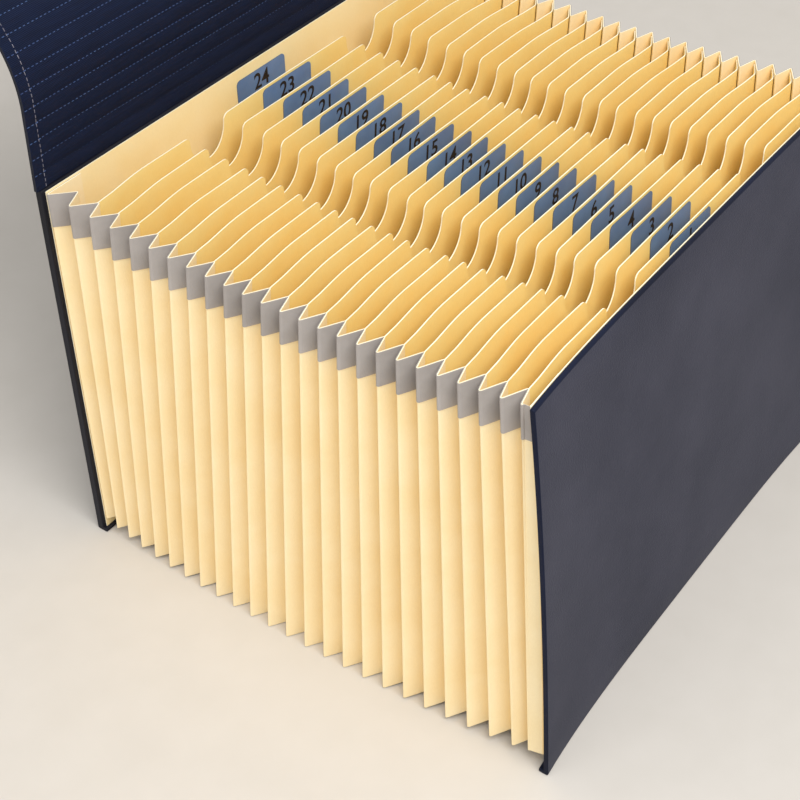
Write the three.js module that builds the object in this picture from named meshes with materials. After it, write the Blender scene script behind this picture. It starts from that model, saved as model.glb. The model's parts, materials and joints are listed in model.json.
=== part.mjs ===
// Expanding document folder, standing open: two stiff covers, pleated paper sides and floor,
// index dividers with tabs between them, and a ribbed flap laid back behind the rear cover.
// Millimetres, +Z up, front cover towards -Y.
import * as THREE from 'three';

// Pockets and folds
const POCKETS = 24;
const GAP = 0.3;
const SOLE_CLEARANCE = 0.6;

// Covers, lying against the outermost folds
const COVER_WIDTH = 354;
const COVER_HEIGHT = 240;
const FRONT_BOARD = 2.8;
const REAR_BOARD = 4.6;
const COVER_EDGE_RADIUS = 1.2;
const LIP_DEPTH = 3;
const LIP_THICKNESS = 2;
const LINER_INSET = 2.5;
const LINER_THICKNESS = 0.6;
const LINER_DROP = 1;
const LINER_WIDTH = COVER_WIDTH - 2 * LINER_INSET;
const LINER_TOP = COVER_HEIGHT - LINER_DROP;

// Fold lines: where the outermost ones stand, and how their spacing opens out from the rear
const REAR_FOLD_TOP_Y = 156;
const FRONT_FOLD_TOP_Y = -130.9;
const REAR_FOLD_FOOT_Y = 149;
const FRONT_FOLD_FOOT_Y = -152.8;
const TOP_SPREAD = 0.35;
const TOP_SPREAD_FADE = 4;
const FOOT_SPREAD = -0.32;
const FOOT_SPREAD_FADE = 5;

// Pleated sides
const PAPER = 0.6;
const SIDE_DROP = 2;
const SIDE_INSET = 2;
const SIDE_TOP = COVER_HEIGHT - SIDE_DROP;
const SIDE_HALF_WIDTH = COVER_WIDTH / 2 - SIDE_INSET;
const SIDE_SAG = 8.5;
const SIDE_END_LIFT = 8.4;
const SIDE_BULGE = 5.5;
const PLEAT_DEPTH = 13;
const INNER_FOLD_SHARE = 0.66;
const GLUE_FLANGE = 25;
const FOLD_MITRE = 1.6;
const SIDE_ROWS = [0, 0.2, 0.4, 0.6, 0.8];

// Tape along the top edge of each side
const TAPE_THICKNESS = 0.25;
const TAPE_SHARE = 0.086;

// Pleated floor between the sides
const FLOOR_CREST = 8.5;
const FLOOR_VALLEY = 0.5;
const FLOOR_UPTURN = 22;

// Dividers
const SHEET = 0.5;
const SHEET_DROP = 2;
const SHEET_LIFT = FLOOR_CREST + FOLD_MITRE * PAPER / 2 + GAP;
const SEAT_START = 0.22;
const SEAT_END = 0.5;
const NOTCH_OFFSET = 71.5;
const NOTCH_HALF_WIDTH = 14.5;
const NOTCH_DEPTH = 20.5;
const NOTCH_LIP = 4;
const NOTCH_STEPS = 12;
const LIP_STEPS = 3;

// Index labels
const LABEL_WIDTH = 44;
const LABEL_HEIGHT = 25;
const LABEL_THICKNESS = 0.25;
const LABEL_CORNER = 3;
const LABEL_DROP = 1.5;
const REAR_LABEL_DROP = 7;

// Flap: a ribbed strip that rises, bends back twice and hangs, ending in a plain panel
const FLAP_OVERHANG = 2;
const FLAP_WIDTH = COVER_WIDTH + 2 * FLAP_OVERHANG;
const FLAP_THICKNESS = 2;
const FLAP_SETBACK = 1.1;
const FLAP_RISE = 47;
const FIRST_BEND_RADIUS = 65;
const FIRST_BEND = 60;
const FLAP_SLOPE = 110;
const SECOND_BEND_RADIUS = 20;
const SECOND_BEND = 115;
const FLAP_HANG = 52;
const END_PANEL = 110;
const RIB_PITCH = 9.5;
const RIB_GROOVE = 0.35;
const RIB_GROOVE_WIDTH = 1.4;

const CREAM = { color: 0xf8dda6, roughness: 0.78, metalness: 0 };
const CREAM_SHEET = { color: 0xfbe0a8, roughness: 0.74, metalness: 0 };
const GREY_TAPE = { color: 0xa09c9c, roughness: 0.62, metalness: 0 };
const BLUE_LABEL = { color: 0x5b769c, roughness: 0.45, metalness: 0 };
const NAVY_BOARD = { color: 0x2b3040, roughness: 0.52, metalness: 0 };
const NAVY_REAR = { color: 0x161c2c, roughness: 0.55, metalness: 0 };
const NAVY_RIBBED = { color: 0x172747, roughness: 0.5, metalness: 0 };

const { lerp, degToRad } = THREE.MathUtils;
const group = new THREE.Group();
group.name = 'document_folder';

function addPiece(name, geometry, finish) {
  const mesh = new THREE.Mesh(geometry, new THREE.MeshStandardMaterial(finish));
  mesh.name = name;
  group.add(mesh);
}

// Fold positions from start to end. The first spacings differ by the spread, which fades away.
function foldPositions(start, end, spread, fade) {
  const weights = Array.from({ length: POCKETS }, (_, j) => 1 + spread * Math.exp(-j / fade));
  const total = weights.reduce((sum, weight) => sum + weight, 0);
  const positions = [start];
  for (const weight of weights) {
    positions.push(positions.at(-1) + (end - start) * weight / total);
  }
  return positions;
}

const TOP_Y = foldPositions(REAR_FOLD_TOP_Y, FRONT_FOLD_TOP_Y, TOP_SPREAD, TOP_SPREAD_FADE);
const FOOT_Y = foldPositions(REAR_FOLD_FOOT_Y, FRONT_FOLD_FOOT_Y, FOOT_SPREAD, FOOT_SPREAD_FADE);

// Distance from the middle fold, -1 at the rear cover and 1 at the front cover.
const fromMiddle = (fold) => 2 * fold / POCKETS - 1;
const headZ = (fold) => SIDE_TOP - SIDE_SAG * (1 - fromMiddle(fold) ** 2);
const footZ = (fold) => SOLE_CLEARANCE + SIDE_END_LIFT * Math.abs(fromMiddle(fold)) ** 3;
const footHalfWidth = (fold) => SIDE_HALF_WIDTH + SIDE_BULGE * (1 - fromMiddle(fold) ** 2);

// Height of the wall line of one end fold: its y at height z, carried on above and below the paper.
function wallY(fold, z) {
  const share = (z - footZ(fold)) / (headZ(fold) - footZ(fold));
  return lerp(FOOT_Y[fold], TOP_Y[fold], share);
}

// Corner of an offset path: how far it moves along the bisector, shortened outside a sharp fold.
function offsetPoint(path, i, offset) {
  const here = path[i];
  const before = path[Math.max(i - 1, 0)];
  const after = path[Math.min(i + 1, path.length - 1)];
  const into = new THREE.Vector2(here[0] - before[0], here[1] - before[1]).normalize();
  const out = new THREE.Vector2(after[0] - here[0], after[1] - here[1]).normalize();
  const first = i === 0 ? out : into;
  const second = i === path.length - 1 ? into : out;
  const normal = new THREE.Vector2(-first.y, first.x);
  const bisector = new THREE.Vector2(-second.y, second.x).add(normal).normalize();
  const turn = first.x * second.y - first.y * second.x;
  const mitre = 1 / bisector.dot(normal);
  const reach = turn * offset > 0 ? mitre : Math.min(mitre, FOLD_MITRE);
  return [here[0] + bisector.x * offset * reach, here[1] + bisector.y * offset * reach];
}

// Thin folded wall. Each station has a foot and a head point on the folded path, the two heights
// they stand at, and the part of that height which the wall covers. The wall lies between the
// near and far offsets of the path, and rows split it along its height.
function foldedWall(stations, near, far, rows, toWorld) {
  const feet = stations.map((station) => station.foot);
  const heads = stations.map((station) => station.head);
  const positions = [];
  stations.forEach((station, i) => {
    for (const row of rows) {
      const level = lerp(station.low, station.high, row);
      const share = (level - station.footLevel) / (station.headLevel - station.footLevel);
      for (const offset of [near, far]) {
        const foot = offsetPoint(feet, i, offset);
        const head = offsetPoint(heads, i, offset);
        const across = [lerp(foot[0], head[0], share), lerp(foot[1], head[1], share)];
        positions.push(...toWorld(across[0], across[1], level));
      }
    }
  });
  const last = rows.length - 1;
  const vertex = (i, j, side) => (i * rows.length + j) * 2 + side;
  const faces = [];
  const quad = (a, b, c, d) => faces.push(a, b, c, a, c, d);
  for (let i = 0; i < stations.length - 1; i += 1) {
    for (let j = 0; j < last; j += 1) {
      quad(vertex(i, j, 0), vertex(i + 1, j, 0), vertex(i + 1, j + 1, 0), vertex(i, j + 1, 0));
      faces.push(vertex(i, j, 1), vertex(i + 1, j + 1, 1), vertex(i + 1, j, 1));
      faces.push(vertex(i, j, 1), vertex(i, j + 1, 1), vertex(i + 1, j + 1, 1));
    }
    quad(vertex(i, 0, 1), vertex(i + 1, 0, 1), vertex(i + 1, 0, 0), vertex(i, 0, 0));
    quad(vertex(i, last, 0), vertex(i + 1, last, 0), vertex(i + 1, last, 1), vertex(i, last, 1));
  }
  const end = stations.length - 1;
  for (let j = 0; j < last; j += 1) {
    quad(vertex(0, j, 1), vertex(0, j, 0), vertex(0, j + 1, 0), vertex(0, j + 1, 1));
    quad(vertex(end, j, 0), vertex(end, j, 1), vertex(end, j + 1, 1), vertex(end, j + 1, 0));
  }
  const geometry = new THREE.BufferGeometry();
  geometry.setAttribute('position', new THREE.Float32BufferAttribute(positions, 3));
  geometry.setIndex(faces);
  return outward(geometry);
}

// Turns every face round when the solid's signed volume shows that they point inwards.
function outward(geometry) {
  const index = geometry.getIndex();
  const points = geometry.getAttribute('position');
  const corner = [0, 1, 2].map(() => new THREE.Vector3());
  let volume = 0;
  for (let i = 0; i < index.count; i += 3) {
    corner.forEach((point, j) => point.fromBufferAttribute(points, index.getX(i + j)));
    volume += corner[0].dot(corner[1].cross(corner[2]));
  }
  if (volume < 0) {
    for (let i = 0; i < index.count; i += 3) {
      const second = index.getX(i + 1);
      index.setX(i + 1, index.getX(i + 2));
      index.setX(i + 2, second);
    }
  }
  geometry.computeVertexNormals();
  return geometry;
}

const upright = (x, y, z) => [x, y, z];
const lengthwise = (y, z, x) => [x, y, z];

// Outline in the y-z plane, extruded across the full width.
function extrudeAcross(shape, width) {
  const geometry = new THREE.ExtrudeGeometry(shape, {
    depth: width,
    bevelEnabled: false,
    curveSegments: 6,
  });
  const acrossX = new THREE.Matrix4().set(
    0, 0, 1, -width / 2,
    1, 0, 0, 0,
    0, 1, 0, 0,
    0, 0, 0, 1,
  );
  geometry.applyMatrix4(acrossX);
  return geometry;
}

// Closed outline with each corner rounded to its own radius. A corner is [y, z, radius].
function roundedOutline(corners) {
  const shape = new THREE.Shape();
  corners.forEach(([y, z, radius], i) => {
    const here = new THREE.Vector2(y, z);
    const [beforeY, beforeZ] = corners.at(i - 1);
    const [afterY, afterZ] = corners[(i + 1) % corners.length];
    const back = new THREE.Vector2(beforeY, beforeZ).sub(here).normalize();
    const on = new THREE.Vector2(afterY, afterZ).sub(here).normalize();
    const half = Math.acos(THREE.MathUtils.clamp(back.dot(on), -1, 1)) / 2;
    const reach = radius / Math.tan(half);
    const start = here.clone().addScaledVector(back, reach);
    const finish = here.clone().addScaledVector(on, reach);
    if (i === 0) {
      shape.moveTo(start.x, start.y);
    } else {
      shape.lineTo(start.x, start.y);
    }
    if (radius > 0) {
      shape.quadraticCurveTo(here.x, here.y, finish.x, finish.y);
    }
  });
  shape.closePath();
  return shape;
}

// Board with a lip folded in along its foot. Side is 1 for the rear cover and -1 for the front one.
function coverGeometry(fold, board, side) {
  const seat = PAPER / 2 + GAP + LINER_THICKNESS + GAP;
  const inner = (z) => wallY(fold, z) + side * seat;
  const outer = (z) => inner(z) + side * board;
  return extrudeAcross(roundedOutline([
    [outer(0), 0, COVER_EDGE_RADIUS],
    [outer(COVER_HEIGHT), COVER_HEIGHT, COVER_EDGE_RADIUS],
    [inner(COVER_HEIGHT), COVER_HEIGHT, COVER_EDGE_RADIUS],
    [inner(LIP_THICKNESS), LIP_THICKNESS, 0],
    [inner(0) - side * LIP_DEPTH, LIP_THICKNESS, LIP_THICKNESS / 3],
    [inner(0) - side * LIP_DEPTH, 0, LIP_THICKNESS / 3],
  ]), COVER_WIDTH);
}

// Flat wall of paper parallel to one end fold, a given distance from it.
function flatStation(fold, x, distance, low, high) {
  return {
    foot: [x, FOOT_Y[fold] + distance],
    head: [x, TOP_Y[fold] + distance],
    footLevel: footZ(fold),
    headLevel: headZ(fold),
    low,
    high,
  };
}

function linerGeometry(fold, side) {
  const distance = side * (PAPER / 2 + GAP + LINER_THICKNESS / 2);
  const low = LIP_THICKNESS + GAP;
  const stations = [-LINER_WIDTH / 2, LINER_WIDTH / 2].map(
    (x) => flatStation(fold, x, distance, low, LINER_TOP),
  );
  return foldedWall(stations, -LINER_THICKNESS / 2, LINER_THICKNESS / 2, [0, 1], upright);
}

// Zigzag of the left side, from the glue flange on the rear cover to the one on the front cover.
function sideStations(lowShare) {
  const stations = [];
  const add = (footX, footY, headX, headY, place) => {
    const low = lerp(footZ(place), headZ(place), lowShare);
    stations.push({
      foot: [footX, footY],
      head: [headX, headY],
      footLevel: footZ(place),
      headLevel: headZ(place),
      low,
      high: headZ(place),
    });
  };
  const flangeX = GLUE_FLANGE - SIDE_HALF_WIDTH;
  add(flangeX, FOOT_Y[0], flangeX, TOP_Y[0], 0);
  for (let fold = 0; fold <= POCKETS; fold += 1) {
    const footX = -footHalfWidth(fold);
    add(footX, FOOT_Y[fold], -SIDE_HALF_WIDTH, TOP_Y[fold], fold);
    if (fold < POCKETS) {
      const place = fold + INNER_FOLD_SHARE;
      const footY = lerp(FOOT_Y[fold], FOOT_Y[fold + 1], INNER_FOLD_SHARE);
      const headY = lerp(TOP_Y[fold], TOP_Y[fold + 1], INNER_FOLD_SHARE);
      const insideX = PLEAT_DEPTH - footHalfWidth(place);
      add(insideX, footY, PLEAT_DEPTH - SIDE_HALF_WIDTH, headY, place);
    }
  }
  add(flangeX, FOOT_Y[POCKETS], flangeX, TOP_Y[POCKETS], POCKETS);
  return stations;
}

function mirrored(geometry) {
  return outward(geometry.clone().scale(-1, 1, 1));
}

// Point on the inner face of the rising panel in front of a fold, at a share of its length.
function seatPoint(halfWidth, positions, fold, share) {
  const run = PLEAT_DEPTH;
  const rise = (positions[fold + 1] - positions[fold]) * INNER_FOLD_SHARE;
  const length = Math.hypot(run, rise);
  const distance = PAPER / 2 + GAP + SHEET / 2;
  const x = -halfWidth + run * share - rise / length * distance;
  const y = positions[fold] + rise * share + run / length * distance;
  return [x, y];
}

// Where a divider's flat part stands, as y at its foot and head.
function sheetPlane(fold) {
  return {
    footY: seatPoint(footHalfWidth(fold), FOOT_Y, fold, SEAT_END)[1],
    headY: seatPoint(SIDE_HALF_WIDTH, TOP_Y, fold, SEAT_END)[1],
  };
}

// Depth of a thumb notch at x: half an ellipse below two quarter-round lips.
function notchDepth(x) {
  const away = Math.abs(Math.abs(x) - NOTCH_OFFSET);
  if (away >= NOTCH_HALF_WIDTH + NOTCH_LIP) {
    return 0;
  }
  if (away > NOTCH_HALF_WIDTH) {
    const inLip = NOTCH_HALF_WIDTH + NOTCH_LIP - away;
    return NOTCH_LIP - Math.sqrt(NOTCH_LIP ** 2 - inLip ** 2);
  }
  const bowl = Math.sqrt(1 - (away / NOTCH_HALF_WIDTH) ** 2);
  return NOTCH_LIP + (NOTCH_DEPTH - NOTCH_LIP) * bowl;
}

// Places across a sheet where its top edge needs a corner, closer together in the notches.
function notchPlaces() {
  const places = [];
  for (const centre of [-NOTCH_OFFSET, NOTCH_OFFSET]) {
    const rim = NOTCH_HALF_WIDTH + NOTCH_LIP;
    for (let i = 0; i < LIP_STEPS; i += 1) {
      places.push(centre - rim + NOTCH_LIP * Math.sin(Math.PI / 2 * i / LIP_STEPS));
    }
    for (let i = 0; i <= NOTCH_STEPS; i += 1) {
      places.push(centre - NOTCH_HALF_WIDTH * Math.cos(Math.PI * i / NOTCH_STEPS));
    }
    for (let i = LIP_STEPS - 1; i >= 0; i -= 1) {
      places.push(centre + rim - NOTCH_LIP * Math.sin(Math.PI / 2 * i / LIP_STEPS));
    }
  }
  return places;
}

function sheetStations(fold) {
  const plane = sheetPlane(fold);
  const levels = { footLevel: footZ(fold), headLevel: headZ(fold) };
  const low = footZ(fold) + SHEET_LIFT;
  const top = headZ(fold) - SHEET_DROP;
  const edge = [SEAT_START, SEAT_END].map((share) => ({
    foot: seatPoint(footHalfWidth(fold), FOOT_Y, fold, share),
    head: seatPoint(SIDE_HALF_WIDTH, TOP_Y, fold, share),
    ...levels,
    low,
    high: top,
  }));
  const middle = notchPlaces().map((x) => ({
    foot: [x, plane.footY],
    head: [x, plane.headY],
    ...levels,
    low,
    high: top - notchDepth(x),
  }));
  const otherEdge = edge.toReversed().map((station) => ({
    ...station,
    foot: [-station.foot[0], station.foot[1]],
    head: [-station.head[0], station.head[1]],
  }));
  return [...edge, ...middle, ...otherEdge];
}

// Label with two rounded top corners, lying on the front of a plane of paper.
function labelGeometry(plane, levels, top, backing) {
  const half = LABEL_WIDTH / 2;
  const corner = [0, 30, 60, 90].map((angle) => ({
    x: half - LABEL_CORNER + LABEL_CORNER * Math.cos(degToRad(angle)),
    drop: LABEL_CORNER * (1 - Math.sin(degToRad(angle))),
  }));
  const outline = [
    ...corner.map(({ x, drop }) => ({ x: -x, drop })),
    ...corner.toReversed(),
  ];
  const stations = outline.map(({ x, drop }) => ({
    foot: [x, plane.footY],
    head: [x, plane.headY],
    ...levels,
    low: top - LABEL_HEIGHT,
    high: top - drop,
  }));
  const near = -(backing + GAP);
  return foldedWall(stations, near, near - LABEL_THICKNESS, [0, 1], upright);
}

// Pleated floor seen from the side: an upturned strip on each liner and one crest under each sheet.
function floorStations() {
  const stations = [];
  const add = (y, z, place) => {
    const halfLength = footHalfWidth(place) - PLEAT_DEPTH - FOLD_MITRE * PAPER / 2 - GAP;
    stations.push({
      foot: [y, z],
      head: [y, z],
      footLevel: -halfLength,
      headLevel: halfLength,
      low: -halfLength,
      high: halfLength,
    });
  };
  const clear = PAPER + GAP;
  const bottom = (place) => footZ(place) + FLOOR_VALLEY;
  const crestY = (fold) => {
    const { footY, headY } = sheetPlane(fold);
    return lerp(footY, headY, SHEET_LIFT / (headZ(fold) - footZ(fold)));
  };
  const rearTop = bottom(0) + FLOOR_UPTURN;
  const frontTop = bottom(POCKETS) + FLOOR_UPTURN;
  add(wallY(0, rearTop) - clear, rearTop, 0);
  add(wallY(0, bottom(0)) - clear, bottom(0), 0);
  for (let fold = 1; fold < POCKETS; fold += 1) {
    if (fold > 1) {
      add((crestY(fold - 1) + crestY(fold)) / 2, bottom(fold - 0.5), fold - 0.5);
    }
    add(crestY(fold), footZ(fold) + FLOOR_CREST, fold);
  }
  add(wallY(POCKETS, bottom(POCKETS)) + clear, bottom(POCKETS), POCKETS);
  add(wallY(POCKETS, frontTop) + clear, frontTop, POCKETS);
  return stations;
}

// The flap's lining line as runs, each straight or turning backwards by an angle.
const firstArc = FIRST_BEND_RADIUS * degToRad(FIRST_BEND);
const secondArc = SECOND_BEND_RADIUS * degToRad(SECOND_BEND);
const flapRuns = [
  { length: FLAP_RISE, turn: 0 },
  { length: firstArc, turn: FIRST_BEND },
  { length: FLAP_SLOPE, turn: 0 },
  { length: secondArc, turn: SECOND_BEND },
  { length: FLAP_HANG + END_PANEL, turn: 0 },
];
const firstHinge = FLAP_RISE + firstArc / 2;
const secondHinge = FLAP_RISE + firstArc + FLAP_SLOPE + secondArc / 2;
const endHinge = FLAP_RISE + firstArc + FLAP_SLOPE + secondArc + FLAP_HANG;
const flapLength = endHinge + END_PANEL;

// Point on the flap a distance along its lining and a depth behind it.
function flapPoint(distance, depth) {
  let y = wallY(0, COVER_HEIGHT) + PAPER / 2 + GAP + LINER_THICKNESS + GAP + FLAP_SETBACK;
  let z = COVER_HEIGHT;
  let heading = 0;
  let left = distance;
  for (const { length, turn } of flapRuns) {
    const covered = Math.min(left, length);
    const next = heading + degToRad(turn) * covered / length;
    const radius = turn ? length / degToRad(turn) : 0;
    y += turn ? radius * (Math.cos(heading) - Math.cos(next)) : covered * Math.sin(heading);
    z += turn ? radius * (Math.sin(next) - Math.sin(heading)) : covered * Math.cos(heading);
    heading = next;
    left -= covered;
  }
  return [y + depth * Math.cos(heading), z - depth * Math.sin(heading)];
}

// One stiff length of the flap. Grooves across its lining mark the ribs.
function flapGeometry(start, end, ribbed) {
  const lining = [[start, 0]];
  const back = [start];
  for (let line = RIB_PITCH; line < end; line += RIB_PITCH) {
    const inside = line - RIB_GROOVE_WIDTH > start && line + RIB_GROOVE_WIDTH < end;
    if (inside && ribbed) {
      lining.push([line - RIB_GROOVE_WIDTH / 2, 0], [line, RIB_GROOVE]);
      lining.push([line + RIB_GROOVE_WIDTH / 2, 0]);
    }
    if (inside) {
      back.push(line);
    }
  }
  lining.push([end, 0]);
  back.push(end);
  const outline = [
    ...lining.map(([distance, depth]) => flapPoint(distance, depth)),
    ...back.toReversed().map((distance) => flapPoint(distance, FLAP_THICKNESS)),
  ];
  const shape = new THREE.Shape(outline.map(([y, z]) => new THREE.Vector2(y, z)));
  return extrudeAcross(shape, FLAP_WIDTH);
}

// Covers and their liners
addPiece('back_cover', coverGeometry(0, REAR_BOARD, 1), NAVY_REAR);
addPiece('back_liner', linerGeometry(0, 1), CREAM_SHEET);
addPiece('front_cover', coverGeometry(POCKETS, FRONT_BOARD, -1), NAVY_BOARD);
addPiece('front_liner', linerGeometry(POCKETS, -1), CREAM_SHEET);

// Pleated sides with the tape along their top edge
const sideRows = [...SIDE_ROWS, 1 - TAPE_SHARE, 1];
const leftSide = foldedWall(sideStations(0), -PAPER / 2, PAPER / 2, sideRows, upright);
addPiece('left_gusset', leftSide, CREAM);
addPiece('right_gusset', mirrored(leftSide), CREAM);
const tapeNear = -(PAPER / 2 + GAP);
const tapeStations = sideStations(1 - TAPE_SHARE).slice(1, -1);
const leftTape = foldedWall(tapeStations, tapeNear, tapeNear - TAPE_THICKNESS, [0, 1], upright);
addPiece('left_gusset_tape', leftTape, GREY_TAPE);
addPiece('right_gusset_tape', mirrored(leftTape), GREY_TAPE);

// Pleated floor
const floor = foldedWall(floorStations(), -PAPER / 2, PAPER / 2, [0, 1], lengthwise);
addPiece('bottom_gusset', floor, CREAM);

// Dividers and their labels, numbered from the front cover
for (let fold = 1; fold < POCKETS; fold += 1) {
  const number = String(POCKETS - fold).padStart(2, '0');
  const levels = { footLevel: footZ(fold), headLevel: headZ(fold) };
  const sheet = foldedWall(sheetStations(fold), -SHEET / 2, SHEET / 2, [0, 1], upright);
  addPiece(`divider_${number}`, sheet, CREAM_SHEET);
  const top = headZ(fold) - SHEET_DROP - LABEL_DROP;
  const label = labelGeometry(sheetPlane(fold), levels, top, SHEET / 2);
  addPiece(`index_label_${number}`, label, BLUE_LABEL);
}
const linerFace = PAPER / 2 + GAP;
const linerPlane = { footY: FOOT_Y[0] + linerFace, headY: TOP_Y[0] + linerFace };
const rearLevels = { footLevel: footZ(0), headLevel: headZ(0) };
const rearLabel = labelGeometry(linerPlane, rearLevels, LINER_TOP - REAR_LABEL_DROP, 0);
addPiece(`index_label_${POCKETS}`, rearLabel, BLUE_LABEL);

// Flap, cut at its hinge lines
const flapPieces = [
  { name: 'flap_spine_lower', start: GAP, end: firstHinge - GAP / 2, ribbed: true },
  { name: 'flap_spine_middle', start: firstHinge + GAP / 2, end: secondHinge - GAP / 2, ribbed: true },
  { name: 'flap_spine_upper', start: secondHinge + GAP / 2, end: endHinge - GAP / 2, ribbed: true },
  { name: 'flap_end_panel', start: endHinge + GAP / 2, end: flapLength, ribbed: false },
];
for (const { name, start, end, ribbed } of flapPieces) {
  addPiece(name, flapGeometry(start, end, ribbed), NAVY_RIBBED);
}

// Centre of the bounding box over the origin, standing on z = 0.
const box = new THREE.Box3().setFromObject(group);
const middleY = (box.min.y + box.max.y) / 2;
for (const piece of group.children) {
  piece.geometry.translate(0, -middleY, -box.min.z);
}

export default group;
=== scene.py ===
"""An expanding document folder that stands open, with its ribbed flap laid back.

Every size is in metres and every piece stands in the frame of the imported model. The fold lines,
dividers and flap follow the same driving sizes as the solids, so each new surface lies where
its solid is.
"""

import json
import logging
import math
from dataclasses import dataclass
from enum import Enum

import bpy
import numpy as np
from mathutils import Matrix, Vector


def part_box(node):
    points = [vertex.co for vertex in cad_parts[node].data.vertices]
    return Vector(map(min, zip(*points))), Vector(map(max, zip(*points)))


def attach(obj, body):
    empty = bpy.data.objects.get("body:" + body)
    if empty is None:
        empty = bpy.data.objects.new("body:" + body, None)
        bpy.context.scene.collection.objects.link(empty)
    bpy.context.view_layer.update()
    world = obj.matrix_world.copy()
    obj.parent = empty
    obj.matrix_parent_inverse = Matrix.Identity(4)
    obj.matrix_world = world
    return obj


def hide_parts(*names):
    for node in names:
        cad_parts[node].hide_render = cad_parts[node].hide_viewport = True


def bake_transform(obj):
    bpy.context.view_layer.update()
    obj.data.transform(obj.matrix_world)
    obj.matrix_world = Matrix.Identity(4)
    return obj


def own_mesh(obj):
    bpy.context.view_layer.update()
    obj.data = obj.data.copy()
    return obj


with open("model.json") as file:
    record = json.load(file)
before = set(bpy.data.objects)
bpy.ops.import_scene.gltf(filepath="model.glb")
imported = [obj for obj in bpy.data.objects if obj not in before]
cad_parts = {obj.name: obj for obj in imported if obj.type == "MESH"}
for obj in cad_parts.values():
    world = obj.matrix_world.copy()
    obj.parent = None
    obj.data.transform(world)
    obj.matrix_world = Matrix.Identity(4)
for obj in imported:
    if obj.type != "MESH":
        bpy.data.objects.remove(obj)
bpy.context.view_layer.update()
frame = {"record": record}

MM = 0.001  # one millimetre, in metres
SHEET_CREASE = math.radians(35)  # an edge of a sheet that turns more than this stays sharp
COVER_CREASE = math.radians(40)
REAR_LABEL_DROP = 7 * MM
ROOT_BODY = "rear_frame"
FRONT_BODY = "front_frame"
FLAP_NODES = ["flap_spine_lower", "flap_spine_middle", "flap_spine_upper", "flap_end_panel"]

Array = np.ndarray
Colour = tuple[float, float, float, float]

log = logging.getLogger("document_folder")


class Wall(Enum):
    """Rear or front cover, as the direction along y in which its outer face looks."""

    REAR = 1
    FRONT = -1


def lerp(start: Array | float, end: Array | float, share: Array | float) -> Array | float:
    """Value a share of the way from start to end."""
    return start + (end - start) * share


def smooth_step(value: Array) -> Array:
    """Smooth rise from 0 to 1 as value goes from 0 to 1, flat at both ends."""
    held = np.clip(value, 0.0, 1.0)
    return held * held * (3.0 - 2.0 * held)


@dataclass
class Surface:
    """Vertices, quads and the rest of a mesh under construction.

    Each quad names the material slot it takes, and each vertex has a place on the flat cut of
    the material, in metres, which becomes the UV map.
    """

    vertices: Array
    quads: Array
    slots: Array
    flat: Array

    @staticmethod
    def joined(parts: list["Surface"]) -> "Surface":
        """Several surfaces as one.

        Args:
            parts: The surfaces, in order.

        Returns:
            One surface with all their vertices and quads.
        """
        starts = np.cumsum([0] + [len(part.vertices) for part in parts[:-1]])
        return Surface(
            np.vstack([part.vertices for part in parts]),
            np.vstack([part.quads + start for part, start in zip(parts, starts)]),
            np.concatenate([part.slots for part in parts]),
            np.vstack([part.flat for part in parts]),
        )

    def mirrored(self) -> "Surface":
        """The surface on the other side of x = 0, with its quads turned to face outwards."""
        flipped = self.vertices * np.array([-1.0, 1.0, 1.0])
        return Surface(flipped, self.quads[:, ::-1], self.slots, self.flat)


def signed_volume(vertices: Array, quads: Array) -> float:
    """Volume inside closed quads: a sixth of the sum of a . (b x c) over their triangles.

    Args:
        vertices: Points, shape (n, 3).
        quads: Corner numbers of each quad, shape (m, 4).

    Returns:
        The volume, positive when the quads face outwards.
    """
    total = 0.0
    for corners in ((0, 1, 2), (0, 2, 3)):
        a, b, c = (vertices[quads[:, i]] for i in corners)
        total += float(np.einsum("ij,ij->i", a, np.cross(b, c)).sum())
    return total / 6.0


def closed_sheet(near: Array, far: Array, flat: Array, face_slot: int = 0,
                 back_slot: int = 0, rim_slot: int = 0) -> Surface:
    """A thin solid between two grids of points.

    The near grid is one face, the far grid the other, and a strip of quads along each of the
    four borders joins them.

    Args:
        near: Points of one face, shape (n, m, 3).
        far: Points of the other face, same shape.
        flat: Place of each point on the flat material, shape (n, m, 2).
        face_slot: Material slot of the near face.
        back_slot: Material slot of the far face.
        rim_slot: Material slot of the cut edges.

    Returns:
        The closed surface, facing outwards.
    """
    n, m = near.shape[:2]
    index = np.arange(n * m).reshape(n, m)
    front = np.stack(
        [index[:-1, :-1], index[1:, :-1], index[1:, 1:], index[:-1, 1:]], axis=-1
    ).reshape(-1, 4)
    back = front[:, ::-1] + n * m
    ring = np.concatenate([index[:, 0], index[-1, 1:], index[-2::-1, -1], index[0, -2:0:-1]])
    after = np.roll(ring, -1)
    rim = np.stack([after, ring, ring + n * m, after + n * m], axis=-1)
    vertices = np.vstack([near.reshape(-1, 3), far.reshape(-1, 3)])
    quads = np.vstack([front, back, rim])
    slots = np.concatenate([
        np.full(len(front), face_slot),
        np.full(len(back), back_slot),
        np.full(len(rim), rim_slot),
    ])
    if signed_volume(vertices, quads) < 0:
        quads = quads[:, ::-1]
    places = flat.reshape(-1, 2)
    return Surface(vertices, quads, slots, np.vstack([places, places]))


def link_object(name: str, data: bpy.types.ID) -> bpy.types.Object:
    """Makes an object at the origin and links it to the scene.

    Args:
        name: Name of the object.
        data: Its mesh, camera or light.

    Returns:
        The object.
    """
    made = bpy.data.objects.new(name, data)
    bpy.context.scene.collection.objects.link(made)
    return made


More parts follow.
